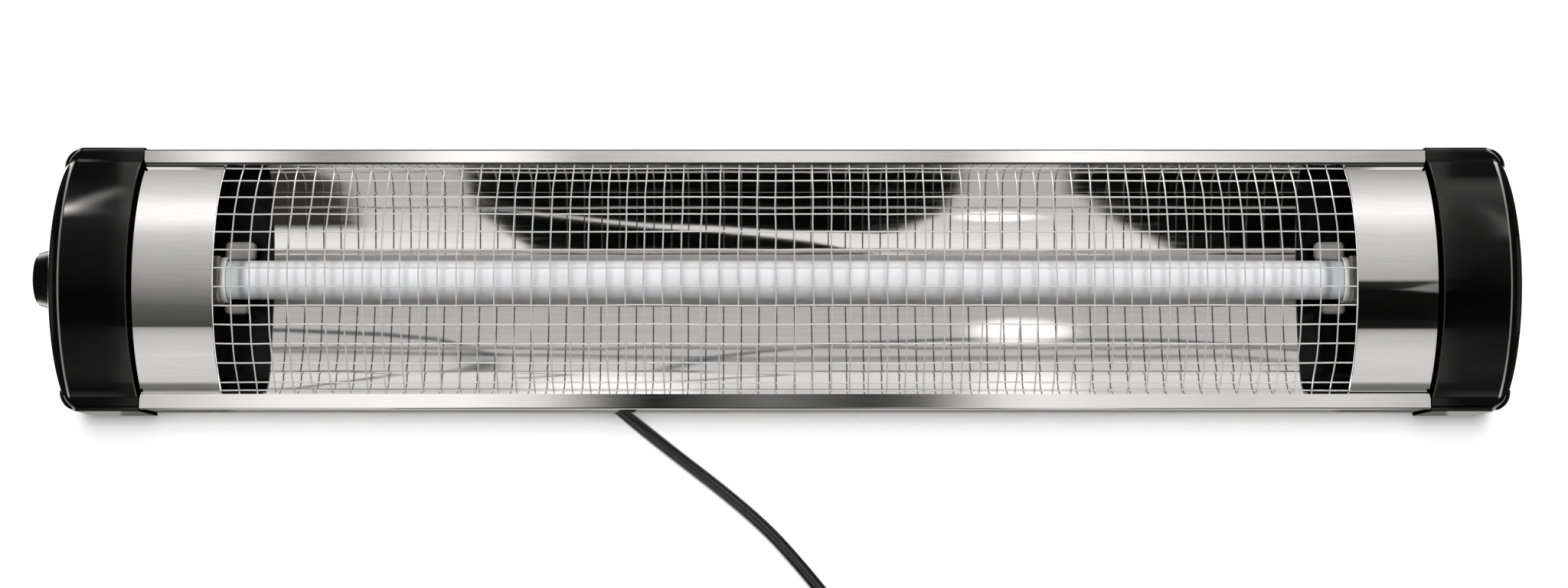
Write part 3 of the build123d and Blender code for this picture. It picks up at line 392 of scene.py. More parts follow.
paintUndersideShade(guardWire, undersideShade, "hoops")
paintUndersideShade(rodWire, undersideShade, "rods")
paintEdgeShade(railSteel, railEdgeShade)
zincSteel = metal("zincSteel", (0.50, 0.50, 0.52), (0.66, 0.66, 0.67), (0.22, 0.38), 900, 0.00001)
dullWire = metal("dullWire", (0.18, 0.165, 0.16), (0.30, 0.28, 0.27), (0.4, 0.6), 800, 0.00001)
brassPlate = metal("brassPlate", (0.62, 0.47, 0.22), (0.74, 0.59, 0.31), (0.22, 0.38), 700, 0.00001)
blackPlastic = plastic(
    "blackPlastic", (0.0005, 0.0005, 0.0005), (0.0008, 0.0008, 0.0008), (0.035, 0.055), 1800, 0.0000005
)
dullInside(blackPlastic, capInside)
knobPlastic = plastic(
    "knobPlastic", (0.0012, 0.0012, 0.0013), (0.002, 0.002, 0.0022), (0.14, 0.20), 1600, 0.000005, level=0.22
)
switchPlastic = plastic("switchPlastic", (0.02, 0.02, 0.022), (0.035, 0.035, 0.037), (0.45, 0.6), 1200, 0.00002)
blockPlastic = plastic("blockPlastic", (0.62, 0.60, 0.54), (0.72, 0.70, 0.64), (0.4, 0.5), 1200, 0.00001)
tieNylon = plastic("tieNylon", (0.010, 0.010, 0.010), (0.018, 0.018, 0.018), (0.3, 0.4), 1500, 0.00001)
blackEnamel = plastic(
    "blackEnamel", (0.0015, 0.0015, 0.0016), (0.003, 0.003, 0.0032), (0.06, 0.16), 260, 0.00012, level=0.15
)
steatite = plastic("steatite", (0.84, 0.84, 0.82), (0.92, 0.92, 0.90), (0.18, 0.30), 900, 0.00001)
# the ears' ceramic is coloured dark grey
darkGreyCeramic = plastic("darkGreyCeramic", (0.16, 0.155, 0.15), (0.26, 0.25, 0.24), (0.25, 0.40), 900, 0.00001)
cordRubber = plastic(
    "cordRubber", (0.004, 0.004, 0.004), (0.008, 0.008, 0.0085), (0.30, 0.42), 2400, 0.00003, level=0.35
)
leadBrown = plastic("leadBrown", (0.12, 0.05, 0.02), (0.18, 0.08, 0.035), (0.35, 0.45), 1500, 0.00001)
leadBlue = plastic("leadBlue", (0.03, 0.10, 0.38), (0.05, 0.14, 0.48), (0.35, 0.45), 1500, 0.00001)
leadGreen = plastic("leadGreen", (0.10, 0.35, 0.05), (0.55, 0.52, 0.05), (0.35, 0.45), 1500, 0.00001)


# quartz: satin white over the heated length, clear glass where the tube goes into its sockets
quartz = {
    "index": 1.46,
    # painted shade: the lower half is coloured greyer than the upper one, standing in for the light that falls from the
    # upper side, with a soft change between
    "paintedShadeSpan": (-0.012, 0.006),
    "below": ((0.52, 0.52, 0.53), (0.60, 0.60, 0.615)),
    "upper": ((0.84, 0.84, 0.85), (0.93, 0.93, 0.945)),
    "roughness": (0.30, 0.46),
    "grain": (900, 6.0, 0.6),
    "cloud": (60, 3.0),
    "cloudStretch": (1, 0.4, 0.4),
    "grainDepth": 0.00004,
    "clearFrom": (0.384, 0.390),
    "neck": (0.3875, 0.3915),
    "neckColours": ((0.34, 0.345, 0.36), (0.84, 0.85, 0.87)),
    "clearRoughness": 0.06,
    "transmission": 0.45,
}


def makeSatinQuartz(q):
    material, tree, shader = newMaterial("satinQuartz")
    grain = noise(tree, objectCoords(tree), *q["grain"])
    cloud = noise(tree, objectCoords(tree, q["cloudStretch"]), *q["cloud"])
    shader.inputs["IOR"].default_value = q["index"]
    x, y, _ = axes(tree)
    colours = [blendColours(tree, cloud, *q[half]) for half in ("below", "upper")]
    # painted shade: the colour runs from the grey lower half to the white upper one
    above = spread(tree, y, 0, 1, *q["paintedShadeSpan"])
    tree.links.new(mixColours(tree, above, *colours), shader.inputs["Base Color"])
    tree.links.new(spread(tree, grain, *q["roughness"]), shader.inputs["Roughness"])
    bump(tree, shader, grain, q["grainDepth"])
    clear = tree.nodes.new("ShaderNodeBsdfPrincipled")
    clear.inputs["Roughness"].default_value = q["clearRoughness"]
    clear.inputs["Transmission Weight"].default_value = q["transmission"]
    clear.inputs["IOR"].default_value = q["index"]
    away = math2(tree, "ABSOLUTE", x)
    neck = spread(tree, away, 0, 1, *q["neck"])
    tree.links.new(mixColours(tree, neck, *q["neckColours"]), clear.inputs["Base Color"])
    mix = tree.nodes.new("ShaderNodeMixShader")
    tree.links.new(spread(tree, away, 0, 1, *q["clearFrom"]), mix.inputs["Fac"])
    tree.links.new(shader.outputs["BSDF"], mix.inputs[1])
    tree.links.new(clear.outputs["BSDF"], mix.inputs[2])
    tree.links.new(mix.outputs["Shader"], tree.nodes["Material Output"].inputs["Surface"])
    return material


satinQuartz = makeSatinQuartz(quartz)

finishes = {
    polishedSteel: ["left_band", "right_band"],
    railSteel: ["top_rail", "bottom_rail"],
    mirrorSheet: ["reflector"],
    brushedSteel: ["rear_cover", "mounting_rail"],
    guardWire: ["guard_hoops"],
    rodWire: ["guard_rods"],
    zincSteel: [
        "left_terminal", "right_terminal", "terminal_nuts", "socket_screws", "cap_screws", "cover_screws",
        "shield_screws", "threaded_inserts", "rail_rivets", "switch_nut", "earth_screw",
    ],
    dullWire: ["heating_coil"],
    brassPlate: ["switch_tabs", "block_screws", "wire_lugs", "plug_pins"],
    blackPlastic: ["left_end_cap", "right_end_cap"],
    knobPlastic: ["knob"],
    switchPlastic: ["switch_body", "switch_shaft"],
    blockPlastic: ["terminal_block"],
    tieNylon: ["cord_tie"],
    blackEnamel: ["left_end_shield", "right_end_shield"],
    steatite: ["left_socket", "right_socket"],
    satinQuartz: ["quartz_tube"],
    cordRubber: ["strain_relief", "plug_body", "power_cord", "cord_coil", "cord_tail"],
    leadBrown: ["supply_leads", "live_lead", "switched_lead"],
    leadBlue: ["neutral_lead"],
    leadGreen: ["earth_lead"],
}
for material, names in finishes.items():
    for name in names:
        nodes[name].data.materials.clear()
        nodes[name].data.materials.append(material)
supplyCord.data.materials.append(cordRubber)
print("materials made:", len(finishes))


# pieces modelled here: each is made with modelling operators, in metres, on the heater's own sizes
def choose(shape):
    bpy.ops.object.select_all(action="DESELECT")
    shape.select_set(True)
    bpy.context.view_layer.objects.active = shape


def openShape(shape):
    choose(shape)
    bpy.ops.object.transform_apply(location=True, rotation=True, scale=True)
    bpy.ops.object.mode_set(mode="EDIT")
    bpy.ops.mesh.select_all(action="SELECT")


def closeShape(smooth=30):
    bpy.ops.mesh.select_all(action="SELECT")
    bpy.ops.mesh.remove_doubles(threshold=0.00001)
    bpy.ops.mesh.normals_make_consistent(inside=False)
    bpy.ops.object.mode_set(mode="OBJECT")
    bpy.ops.object.shade_smooth_by_angle(angle=math.radians(smooth))


def wireStart(name, width, sides, place, turn):
    # the first end of a round wire, open for extruding
    bpy.ops.mesh.primitive_circle_add(
        vertices=sides, radius=width / 2, fill_type="NGON", location=place, rotation=turn
    )
    shape = bpy.context.object
    shape.name = name
    openShape(shape)
    return shape


def spin(angle, middle, steps, axis=(1, 0, 0)):
    # Blender's spin turns against its axis
    bpy.ops.mesh.spin(steps=steps, angle=-math.radians(angle), center=middle, axis=axis)


def extrude(move):
    bpy.ops.mesh.extrude_region_move(TRANSFORM_OT_translate={"value": move})


def copyTo(shape, move):
    copy = shape.copy()
    copy.data = shape.data.copy()
    copy.location = move
    bpy.context.scene.collection.objects.link(copy)
    return copy


def joined(name, shapes, material, stands=()):
    bpy.ops.object.select_all(action="DESELECT")
    for shape in shapes:
        shape.select_set(True)
    bpy.context.view_layer.objects.active = shapes[0]
    bpy.ops.object.join()
    piece = bpy.context.object
    bpy.ops.object.transform_apply(location=True, rotation=True, scale=True)
    piece.name = name
    piece.data.materials.clear()
    piece.data.materials.append(material)
    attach(piece, "housing")
    if stands:
        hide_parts(*stands)
    return piece


def sway(piece, axis, amount, size, detail):
    # hand-bent wire is never quite straight
    texture = bpy.data.textures.new(f"{piece.name}Sway{axis}", "CLOUDS")
    texture.noise_scale = size
    texture.noise_depth = detail
    bend = piece.modifiers.new("sway", "DISPLACE")
    bend.texture = texture
    bend.texture_coords = "LOCAL"
    bend.direction = axis
    bend.strength = amount
    bend.mid_level = 0.5
    choose(piece)
    bpy.ops.object.modifier_apply(modifier=bend.name)


guard = {
    "wire": 0.0011,
    "sides": 6,
    "hoops": 62,
    "halfWindow": 0.4025,
    "archAxis": -0.005777,
    "lean": 51.66,
    "archSteps": 30,
    "foot": 0.0055,
    "bendRadius": 0.002,
    "bendSteps": 3,
    "bendSide": 0.0821,
    "footHeight": 0.05716,
    "rods": 12,
    "rodPitch": 0.0131,
    "rodShift": -0.0025,
    "rodRadius": 0.101457,
    "edgeRod": 0.0799,
    "rodHalf": 0.409,
    "rodSteps": 90,
    # how far wires stray, over what length, in how much detail
    "hoopSway": (0.0022, 0.045, 2),
    "rodSway": (0.0010, 0.05, 1),
}


def makeHoop(g):
    foot, side = g["foot"], g["bendSide"]
    hoop = wireStart(
        "hoop", g["wire"], g["sides"], (-g["halfWindow"], -side - foot, g["footHeight"]), (math.pi / 2, 0, 0)
    )
    bendHeight = g["footHeight"] + g["bendRadius"]
    extrude((0, foot, 0))
    spin(g["lean"], (0, -side, bendHeight), g["bendSteps"])
    spin(-2 * g["lean"], (0, 0, g["archAxis"]), g["archSteps"])
    spin(g["lean"], (0, side, bendHeight), g["bendSteps"])
    extrude((0, foot, 0))
    closeShape(smooth=40)
    return hoop


def makeRod(g, y):
    height = g["archAxis"] + math.sqrt(g["rodRadius"] ** 2 - y**2)
    rod = wireStart("rod", g["wire"], g["sides"], (-g["rodHalf"], y, height), (0, math.pi / 2, 0))
    bpy.ops.mesh.extrude_repeat(steps=g["rodSteps"], offset=(2 * g["rodHalf"] / g["rodSteps"], 0, 0))
    closeShape(smooth=40)
    return rod


def makeGuard(g):
    first = makeHoop(g)
    pitch = 2 * g["halfWindow"] / (g["hoops"] - 1)
    hoops = [first] + [copyTo(first, (pitch * k, 0, 0)) for k in range(1, g["hoops"])]
    hoops = joined("guardHoops", hoops, guardWire, stands=["guard_hoops"])
    sway(hoops, "X", *g["hoopSway"])
    middle = (g["rods"] - 1) / 2
    places = [g["rodShift"] + (k - middle) * g["rodPitch"] for k in range(g["rods"])]
    rods = [makeRod(g, y) for y in places + [-g["edgeRod"], g["edgeRod"]]]
    rods = joined("guardRods", rods, rodWire, stands=["guard_rods"])
    sway(rods, "Y", *g["rodSway"])


makeGuard(guard)
print("guard made")


# rounded edges: the hem of each steel band beside the window, and the lip of each cap beside its band
edges = {
    "sides": 8,
    "steps": 40,
    "hem": {"x": 0.4025, "radius": 0.104077, "axis": -0.005777, "lean": 51.0, "width": 0.0014},
    "capLip": {"x": 0.4612, "radius": 0.104578, "axis": 0.002322, "lean": 54.6, "width": 0.0012},
}


def makeEdge(name, e, kind, side, material):
    arc = e[kind]
    lean = math.radians(arc["lean"])
    start = (side * arc["x"], -arc["radius"] * math.sin(lean), arc["axis"] + arc["radius"] * math.cos(lean))
    edge = wireStart(name, arc["width"], e["sides"], start, (math.pi / 2 - lean, 0, 0))
    spin(-2 * arc["lean"], (0, 0, arc["axis"]), e["steps"])
    closeShape(smooth=60)
    joined(name, [edge], material)


for side, word in ((-1, "left"), (1, "right")):
    makeEdge(f"{word}Hem", edges, "hem", side, polishedSteel)
    makeEdge(f"{word}CapLip", edges, "capLip", side, blackPlastic)


# ceramic collars that the tube runs through in front of its sockets
collar = {
    "start": 0.3996, "end": 0.4040, "bore": 0.0148, "outside": 0.0166, "round": 0.0007, "height": 0.05, "steps": 56,
}


def makeCollar(name, c, side):
    middle = ((c["start"] + c["end"]) / 2 * side, 0, c["height"] + (c["bore"] + c["outside"]) / 2)
    bpy.ops.mesh.primitive_plane_add(size=1, location=middle, rotation=(math.pi / 2, 0, 0))
    shape = bpy.context.object
    shape.name = name
    shape.scale = (c["end"] - c["start"], c["outside"] - c["bore"], 1)
    openShape(shape)
    bpy.ops.mesh.bevel(offset=c["round"], segments=3, affect="VERTICES")
    bpy.ops.mesh.select_all(action="SELECT")
    bpy.ops.mesh.delete(type="ONLY_FACE")
    bpy.ops.mesh.select_all(action="SELECT")
    spin(360, (0, 0, c["height"]), c["steps"])
    closeShape(smooth=50)
    joined(name, [shape], steatite)


makeCollar("leftCollar", collar, -1)
makeCollar("rightCollar", collar, 1)


# ceramic ears on the fronts of the sockets, above and below the tube
ears = {
    "start": 0.4041,
    "reach": {"upper": 0.0215, "lower": 0.0170},
    "side": {"upper": (0.0150, 0.0285), "lower": (-0.0240, -0.0170)},
    "height": (0.034, 0.046),
    "round": 0.0034,
}


def makeEar(name, e, side, place):
    near, far = e["start"], e["start"] - e["reach"][place]
    low, high = e["side"][place]
    bottom, top = e["height"]
    middle = ((near + far) / 2 * side, (low + high) / 2, (bottom + top) / 2)
    bpy.ops.mesh.primitive_cube_add(size=1, location=middle)
    ear = bpy.context.object
    ear.name = name
    ear.scale = (near - far, high - low, top - bottom)
    openShape(ear)
    bpy.ops.mesh.bevel(offset=e["round"], segments=4, affect="EDGES")
    closeShape(smooth=60)
    joined(name, [ear], darkGreyCeramic)


for side, word in ((-1, "left"), (1, "right")):
    makeEar(f"{word}UpperEar", ears, side, "upper")
    makeEar(f"{word}LowerEar", ears, side, "lower")
print("hems, lips, collars and ears made")


# screws with a domed head and a cross recess, on the back
screws = {
    "sides": 20,
    "bar": (0.0034, 0.0008),
    "recess": 0.0009,
    # profile: height and radius, from the shank's end to the head's face
    "cover": {
        "profile": [
            (0.0202, 0.0015), (0.0160, 0.0015), (0.0160, 0.0030), (0.0150, 0.0030), (0.01445, 0.00255),
            (0.0142, 0.0018),
        ],
        "places": [(k * 0.07675, up * 0.086) for k in (-5, -3, -1, 1, 3, 5) for up in (-1, 1)],
    },
    "cap": {
        "profile": [
            (0.0212, 0.00175), (0.0040, 0.00175), (0.0040, 0.0033), (0.0026, 0.0033), (0.00185, 0.0028),
            (0.0015, 0.0020),
        ],
        "places": [(side * 0.475, up * 0.060) for side in (-1, 1) for up in (-1, 1)],
    },
}


def cutBar(shape, size, place, turn):
    # cuts one slot of the cross
    bpy.ops.object.select_all(action="DESELECT")
    bpy.ops.mesh.primitive_cube_add(size=1, location=place, rotation=(0, 0, turn))
    bar = bpy.context.object
    bar.scale = size
    cut = shape.modifiers.new("cut", "BOOLEAN")
    cut.operation = "DIFFERENCE"
    cut.solver = "EXACT"
    cut.object = bar
    bpy.context.view_layer.update()
    choose(shape)
    bpy.ops.object.modifier_apply(modifier=cut.name)
    bpy.data.objects.remove(bar)


def makeScrews(name, s, kind, stands):
    # one screw is drawn out of its shank's end, ring by ring, and copied to its places
    profile = s[kind]["profile"]
    (height, radius), face = profile[0], profile[-1][0]
    head = wireStart(name, 2 * radius, s["sides"], (0, 0, height), (0, 0, 0))
    for nextHeight, nextRadius in profile[1:]:
        extrude((0, 0, nextHeight - height))
        grow = nextRadius / radius
        bpy.ops.transform.resize(value=(grow, grow, 1), center_override=(0, 0, nextHeight))
        height, radius = nextHeight, nextRadius
    closeShape(smooth=35)
    for turn in (0, math.pi / 2):
        cutBar(head, (*s["bar"], 2 * s["recess"]), (0, 0, face), turn)
    openShape(head)
    closeShape(smooth=35)
    first, *others = s[kind]["places"]
    heads = [head] + [copyTo(head, (x, y, 0)) for x, y in others]
    head.location = (*first, 0)
    joined(name, heads, zincSteel, stands=[stands])


makeScrews("coverScrewHeads", screws, "cover", "cover_screws")
makeScrews("capScrewHeads", screws, "cap", "cap_screws")


# rubber ribs round the sleeve of the strain relief
ribs = {
    "count": 6, "start": -0.4560, "pitch": 0.0050, "radius": 0.0061, "taper": 0.00014, "middle": (0.004, 0.0098),
    "width": 0.0014, "sides": 8, "steps": 28,
}


def makeRibs(r):
    y, z = r["middle"]
    rings = []
    for k in range(r["count"]):
        x, radius = r["start"] + k * r["pitch"], r["radius"] - k * r["taper"]
        rings.append(wireStart("rib", r["width"], r["sides"], (x, y + radius, z), (0, 0, 0)))
        bpy.ops.mesh.delete(type="ONLY_FACE")
        bpy.ops.mesh.select_all(action="SELECT")
        spin(360, (0, y, z), r["steps"])
        closeShape(smooth=50)
    joined("strainReliefRibs", rings, cordRubber)


makeRibs(ribs)
print("screw heads and ribs made")


# studio: a pale floor, a white background, a bank of soft lamps nearly overhead
studio = {
    "floorSize": 8.0,
    "floorColour": (0.86, 0.86, 0.86),
    "floorGlow": 0.10,
    "floorHeight": -0.0005,
    # lamps: lean from straight up towards the heater's upper side, strength and angular size
    "lamps": [(-1.0, 0.95, 8), (4.5, 1.10, 8), (10.5, 0.75, 10), (17.5, 0.42, 12)],
    "lampStep": 0.3,
    "lampHeight": 2,
    # soft light from the room by degrees from straight up, towards the heater's upper side
    "ambient": [(-180, 0.05), (-90, 0.05), (-20, 0.07), (30, 0.10), (75, 0.10), (110, 0.06), (180, 0.05)],
}


def makeFloor(s):
    bpy.ops.object.select_all(action="DESELECT")
    bpy.ops.mesh.primitive_plane_add(size=s["floorSize"], location=(0, 0, s["floorHeight"]))
    floor = bpy.context.object
    floor.name = "floor"
    material, tree, shader = newMaterial("studioFloor")
    path = tree.nodes.new("ShaderNodeLightPath")
    shader.inputs["Base Color"].default_value = (*s["floorColour"], 1)
    shader.inputs["Roughness"].default_value = 1.0
    shader.inputs["Specular IOR Level"].default_value = 0.0
    shader.inputs["Emission Color"].default_value = (1, 1, 1, 1)
    glow = both(tree, path.outputs["Is Camera Ray"], s["floorGlow"])
    tree.links.new(glow, shader.inputs["Emission Strength"])
    floor.data.materials.append(material)
    floor.visible_glossy = False


def makeLamps(s):
    for k, (lean, strength, spreadAngle) in enumerate(s["lamps"]):
        data = bpy.data.lights.new(f"softLamp{k}", "SUN")
        data.energy = strength
        data.angle = math.radians(spreadAngle)
        lamp = bpy.data.objects.new(f"softLamp{k}", data)
        bpy.context.scene.collection.objects.link(lamp)
        lamp.location = (0, s["lampStep"] * k, s["lampHeight"])
        lamp.rotation_euler = (-math.radians(lean), 0, 0)
        lamp.visible_camera = False
        lamp.visible_glossy = False


# the room that polished metal shows. An angle is in degrees from straight up towards the heater's upper side,
# a slope is sideways over upward.
room = {
    "tint": (1.0, 0.992, 0.978),
    # light by angle: over the window, over each band, over each cap
    "window": [
        (-149, 0.30), (-120, 1.15), (-90, 1.15), (-84, 0.60), (-59, 0.50), (-33, 0.54), (-21, 0.86), (-17, 1.0),
        (-9, 0.6), (3, 0.51), (22, 0.58), (29, 0.85), (37, 0.86), (42, 0.72), (57, 0.72), (67, 0.42), (87, 0.25),
        (103, 0.45),
    ],
    "leftBand": [
        (-98, 0.16), (-90, 0.22), (-86.6, 0.74), (-60, 0.81), (-44, 0.67), (-38, 0.46), (-36.6, 0.075), (-20, 0.13),
        (-8, 0.27), (2, 0.40), (28, 0.63), (38, 0.78), (52, 1.28), (63, 1.28), (76, 0.87), (105, 0.52),
    ],
    "rightBand": [
        (-98, 0.16), (-90, 0.22), (-86.6, 0.74), (-60, 0.80), (-44, 0.62), (-39.5, 0.42), (-38.4, 0.016), (-30, 0.004),
        (-7, 0.006), (-0.5, 0.03), (0.4, 0.50), (38, 0.80), (57, 1.25), (64, 1.20), (76, 0.88), (105, 0.40),
    ],
    "leftCap": [
        (-104, 0.40), (-97, 0.06), (-78, 0.22), (-45, 0.15), (-32, 0.03), (-14, 0.022), (5, 0.09), (36, 0.18),
        (48, 0.28), (78, 0.16), (92, 0.05), (130, 0.04),
    ],
    "rightCap": [
        (-104, 0.45), (-96, 0.12), (-72, 0.26), (-45, 0.18), (-32, 0.04), (-13, 0.02), (5, 0.08), (35, 0.25),
        (58, 0.45), (80, 0.88), (87, 0.62), (94, 0.09), (130, 0.04),
    ],
    # light by slope that the flat faces of the rails show
    "topRail": [
        (-0.18, 0.48), (-0.157, 1.22), (-0.133, 0.45), (-0.124, 0.45), (-0.095, 1.26), (-0.08, 1.27), (-0.058, 0.59),
        (-0.012, 0.87), (0.018, 0.87), (0.048, 0.61), (0.073, 1.28), (0.096, 1.26), (0.14, 0.77), (0.172, 0.52),
    ],
    "bottomRail": [
        (-0.18, 0.70), (-0.146, 1.08), (-0.12, 1.17), (-0.09, 1.17), (-0.07, 0.91), (-0.048, 0.12), (-0.037, 0.015),
        (-0.004, 0.18), (0.024, 0.055), (0.04, 0.14), (0.062, 0.90), (0.073, 1.03), (0.127, 0.78), (0.16, 0.82),
        (0.182, 0.62),
    ],
    # where each of these begins: slope and softness
    "bandStart": (0.1945, 0.003),
    "capStart": (0.2368, 0.0008),
    "rimStart": (0.31, 0.03),
    # angles at which the rails' faces look up, and softness
    "topFace": (0.0, 3.6, 0.4),
    "bottomFace": (-4.8, -0.6, 0.4),
    # dark screens overhead: their angles, the slope of each edge by angle and its softness
    "overhead": (-80.0, -5.5, 0.6),
    "firstScreen": [(-69, -0.117), (-42, -0.114), (-29, -0.110), (-21, -0.099), (-17, -0.091), (-7, -0.085)],
    "firstEnd": [(-69, 0.066), (-35, 0.064), (-29, 0.058), (-25, 0.048), (-22, 0.043), (-14, 0.032), (-7, 0.01)],
    "secondScreen": [(-69, 0.098), (-35, 0.101), (-29, 0.112), (-25, 0.119), (-20, 0.130), (-14, 0.140), (-7, 0.150)],
    "screenSoft": {"firstScreen": 0.0022, "firstEnd": 0.0035, "secondScreen": 0.0045},
    "screenLight": 0.0015,
    # a slit of light between screens: angle and half width by slope
    "slit": {
        "path": [(-0.10, -29), (-0.078, -26.9), (-0.045, -23.4), (-0.023, -22.6), (0.010, -20), (0.037, -17.6)],
        "half": [(-0.10, 0), (-0.09, 0.3), (-0.045, 0.7), (-0.004, 1.2), (0.010, 1.7), (0.021, 2.6), (0.045, 4.0)],
        "soft": 0.5,
    },
    # cables and edges across the window's light: angle by slope, half width, slopes it spans, how dark
    "lines": [
        {
            "path": [(-0.18, 13.1), (-0.144, 14.6), (-0.125, 16.4), (-0.115, 18.6), (-0.1055, 22.0)],
            "half": 0.75, "span": (-0.190, -0.103), "dark": 0.80,
        },
        {
            "path": [(-0.175, 42.0), (-0.144, 32.6), (-0.125, 27.0), (-0.1055, 24.6)],
            "half": 0.9, "span": (-0.178, -0.103), "dark": 0.75,
        },
        {"path": [(-0.125, 21.0), (-0.1055, 23.3)], "half": 2.0, "span": (-0.118, -0.102), "dark": 0.35},
        {
            "path": [
                (-0.092, 33.6), (-0.045, 25.6), (-0.007, 20.8), (0.026, 17.6), (0.075, 16.2), (0.14, 16.9),
                (0.186, 20.5),
            ],
            "half": 0.6, "span": (-0.095, 0.190), "dark": 0.70,
        },
        {
            "path": [
                (-0.060, 37.5), (-0.029, 35.2), (0.026, 27.2), (0.05, 26.2), (0.075, 27.5), (0.103, 30.4),
                (0.157, 30.6),
            ],
            "half": 0.6, "span": (-0.050, 0.170), "dark": 0.60,
        },
        {
            "path": [(-0.163, 21.0), (-0.093, 22.4), (-0.007, 23.6), (0.10, 22.9), (0.157, 22.6), (0.174, 23.9)],
            "half": 0.6, "span": (-0.185, 0.185), "dark": 0.50,
        },
        {"path": [(-0.18, 43.0), (0.18, 43.8)], "half": 0.8, "span": (-0.190, 0.190), "dark": 0.55},
    ],
    "lineColour": (0.04, 0.045, 0.055),
    "lineSoft": 0.5,
    "spanSoft": 0.004,
    # bright lamps: slope, angle, half width in each, level
    "lamps": [
        (0.0841, 13.5, 0.018, 4.4, 0.9), (0.076, -27.0, 0.014, 1.7, 0.75), (-0.062, 49, 0.032, 16, 0.5),
        (0.087, 63, 0.022, 34, 0.5),
    ],
    "lampSoft": 0.7,
    # a brown thing overhead, left of the screens: its right edge's slope by angle and softness, its angles
    "brownCorner": (0.036, 0.031, 0.027),
    "brownEdge": [(-60, -0.181), (-50, -0.174), (-44, -0.165), (-41, -0.157), (-30, -0.1535), (-23, -0.151)],
    "brownSoft": 0.006,
    "brownSpan": (-80.0, -23.0, 1.5),
    # a bright streak on each cap: angle and level by slope
    "leftStreak": {
        "path": [(-0.30, 52), (-0.2555, 58.5), (-0.248, 67.5), (-0.234, 82)],
        "level": [(-0.40, 6), (-0.30, 22), (-0.256, 31), (-0.2505, 14), (-0.248, 10), (-0.240, 4.2), (-0.234, 1.8)],
        "half": 1.0, "soft": 7.0,
    },
    "rightStreak": {
        "path": [(0.245, 66), (0.2486, 62), (0.256, 50), (0.262, 38)],
        "level": [(0.246, 0), (0.2486, 0.6), (0.2545, 2.6), (0.2575, 5.0), (0.262, 7.0)],
        "half": 1.0, "soft": 9.0,
    },
    # a wedge of light that the right band shows: angle and half width by slope
    "wedge": {
        "path": [(0.218, -7.6), (0.2347, -5.4)],
        "half": [(0.218, 0.0), (0.2225, 0.1), (0.2347, 4.2)],
        "soft": 0.8, "start": (0.2205, 0.002), "level": 0.24,
    },
    # strips beside the heater that the rims of the caps show: slope and level
    "beside": [
        (-6, 0.30), (-2.9, 0.28), (-2.5, 0.06), (-0.66, 0.05), (-0.60, 5.0), (-0.46, 5.0), (-0.40, 0.06), (-0.27, 0.04),
        (0.27, 0.04), (0.30, 0.05), (0.33, 5.5), (0.46, 5.5), (0.53, 0.06), (2.5, 0.06), (2.9, 0.28), (6, 0.30),
    ],
}


# what the tables span: angles, slopes over the window and bands, over the caps, and far aside
angleSpan = (-180, 180)
slopeSpan = (-0.4, 0.4)
capSpan = (-0.5, 0.5)
besideSpan = (-6, 6)


def ramp(tree, value, stops, span, offset=0.0, scale=1.0):
    # a value's stops in a span give (level + offset) / scale
    low, high = span
    node = tree.nodes.new("ShaderNodeValToRGB")
    elements = node.color_ramp.elements
    while len(elements) > 1:
        elements.remove(elements[-1])
    for k, (place, level) in enumerate(stops):
        position = (place - low) / (high - low)
        element = elements[0] if k == 0 else elements.new(position)
        element.position = position
        shade = (level + offset) / scale
        element.color = (shade, shade, shade, 1)
    tree.links.new(spread(tree, value, 0, 1, low, high), node.inputs["Fac"])
    return node.outputs["Color"]


def curveOf(tree, value, stops, span, reach):
    # the stops' own level, from -reach to reach, since a ramp holds only 0 to 1
    held = ramp(tree, value, stops, span, reach, 2 * reach)
    return math2(tree, "SUBTRACT", both(tree, held, 2 * reach), reach)


def slopeAt(tree, angle, stops):
    return curveOf(tree, angle, stops, angleSpan, 0.4)


def angleAt(tree, side, stops, span=slopeSpan):
    return curveOf(tree, side, stops, span, 90)


def widthAt(tree, side, stops):
    return curveOf(tree, side, stops, slopeSpan, 10)


def nearLine(tree, value, line, width, soft):
    # 1 within a width of a line, 0 away from it
    away = math2(tree, "ABSOLUTE", math2(tree, "SUBTRACT", value, line))
    return opposite(tree, past(tree, math2(tree, "SUBTRACT", away, width), 0.0, soft))


def makeScreens(tree, angle, side, r):
    # 1 where a dark screen is: one between two edges with a slit in it, and one past an edge
    def edge(name):
        return past(tree, side, slopeAt(tree, angle, r[name]), r["screenSoft"][name])

    slit = r["slit"]
    gap = nearLine(tree, angle, angleAt(tree, side, slit["path"]), widthAt(tree, side, slit["half"]), slit["soft"])
    first = both(tree, edge("firstScreen"), opposite(tree, edge("firstEnd")))
    dark = math2(tree, "MAXIMUM", both(tree, first, opposite(tree, gap)), edge("secondScreen"))
    return both(tree, dark, between(tree, angle, *r["overhead"]))


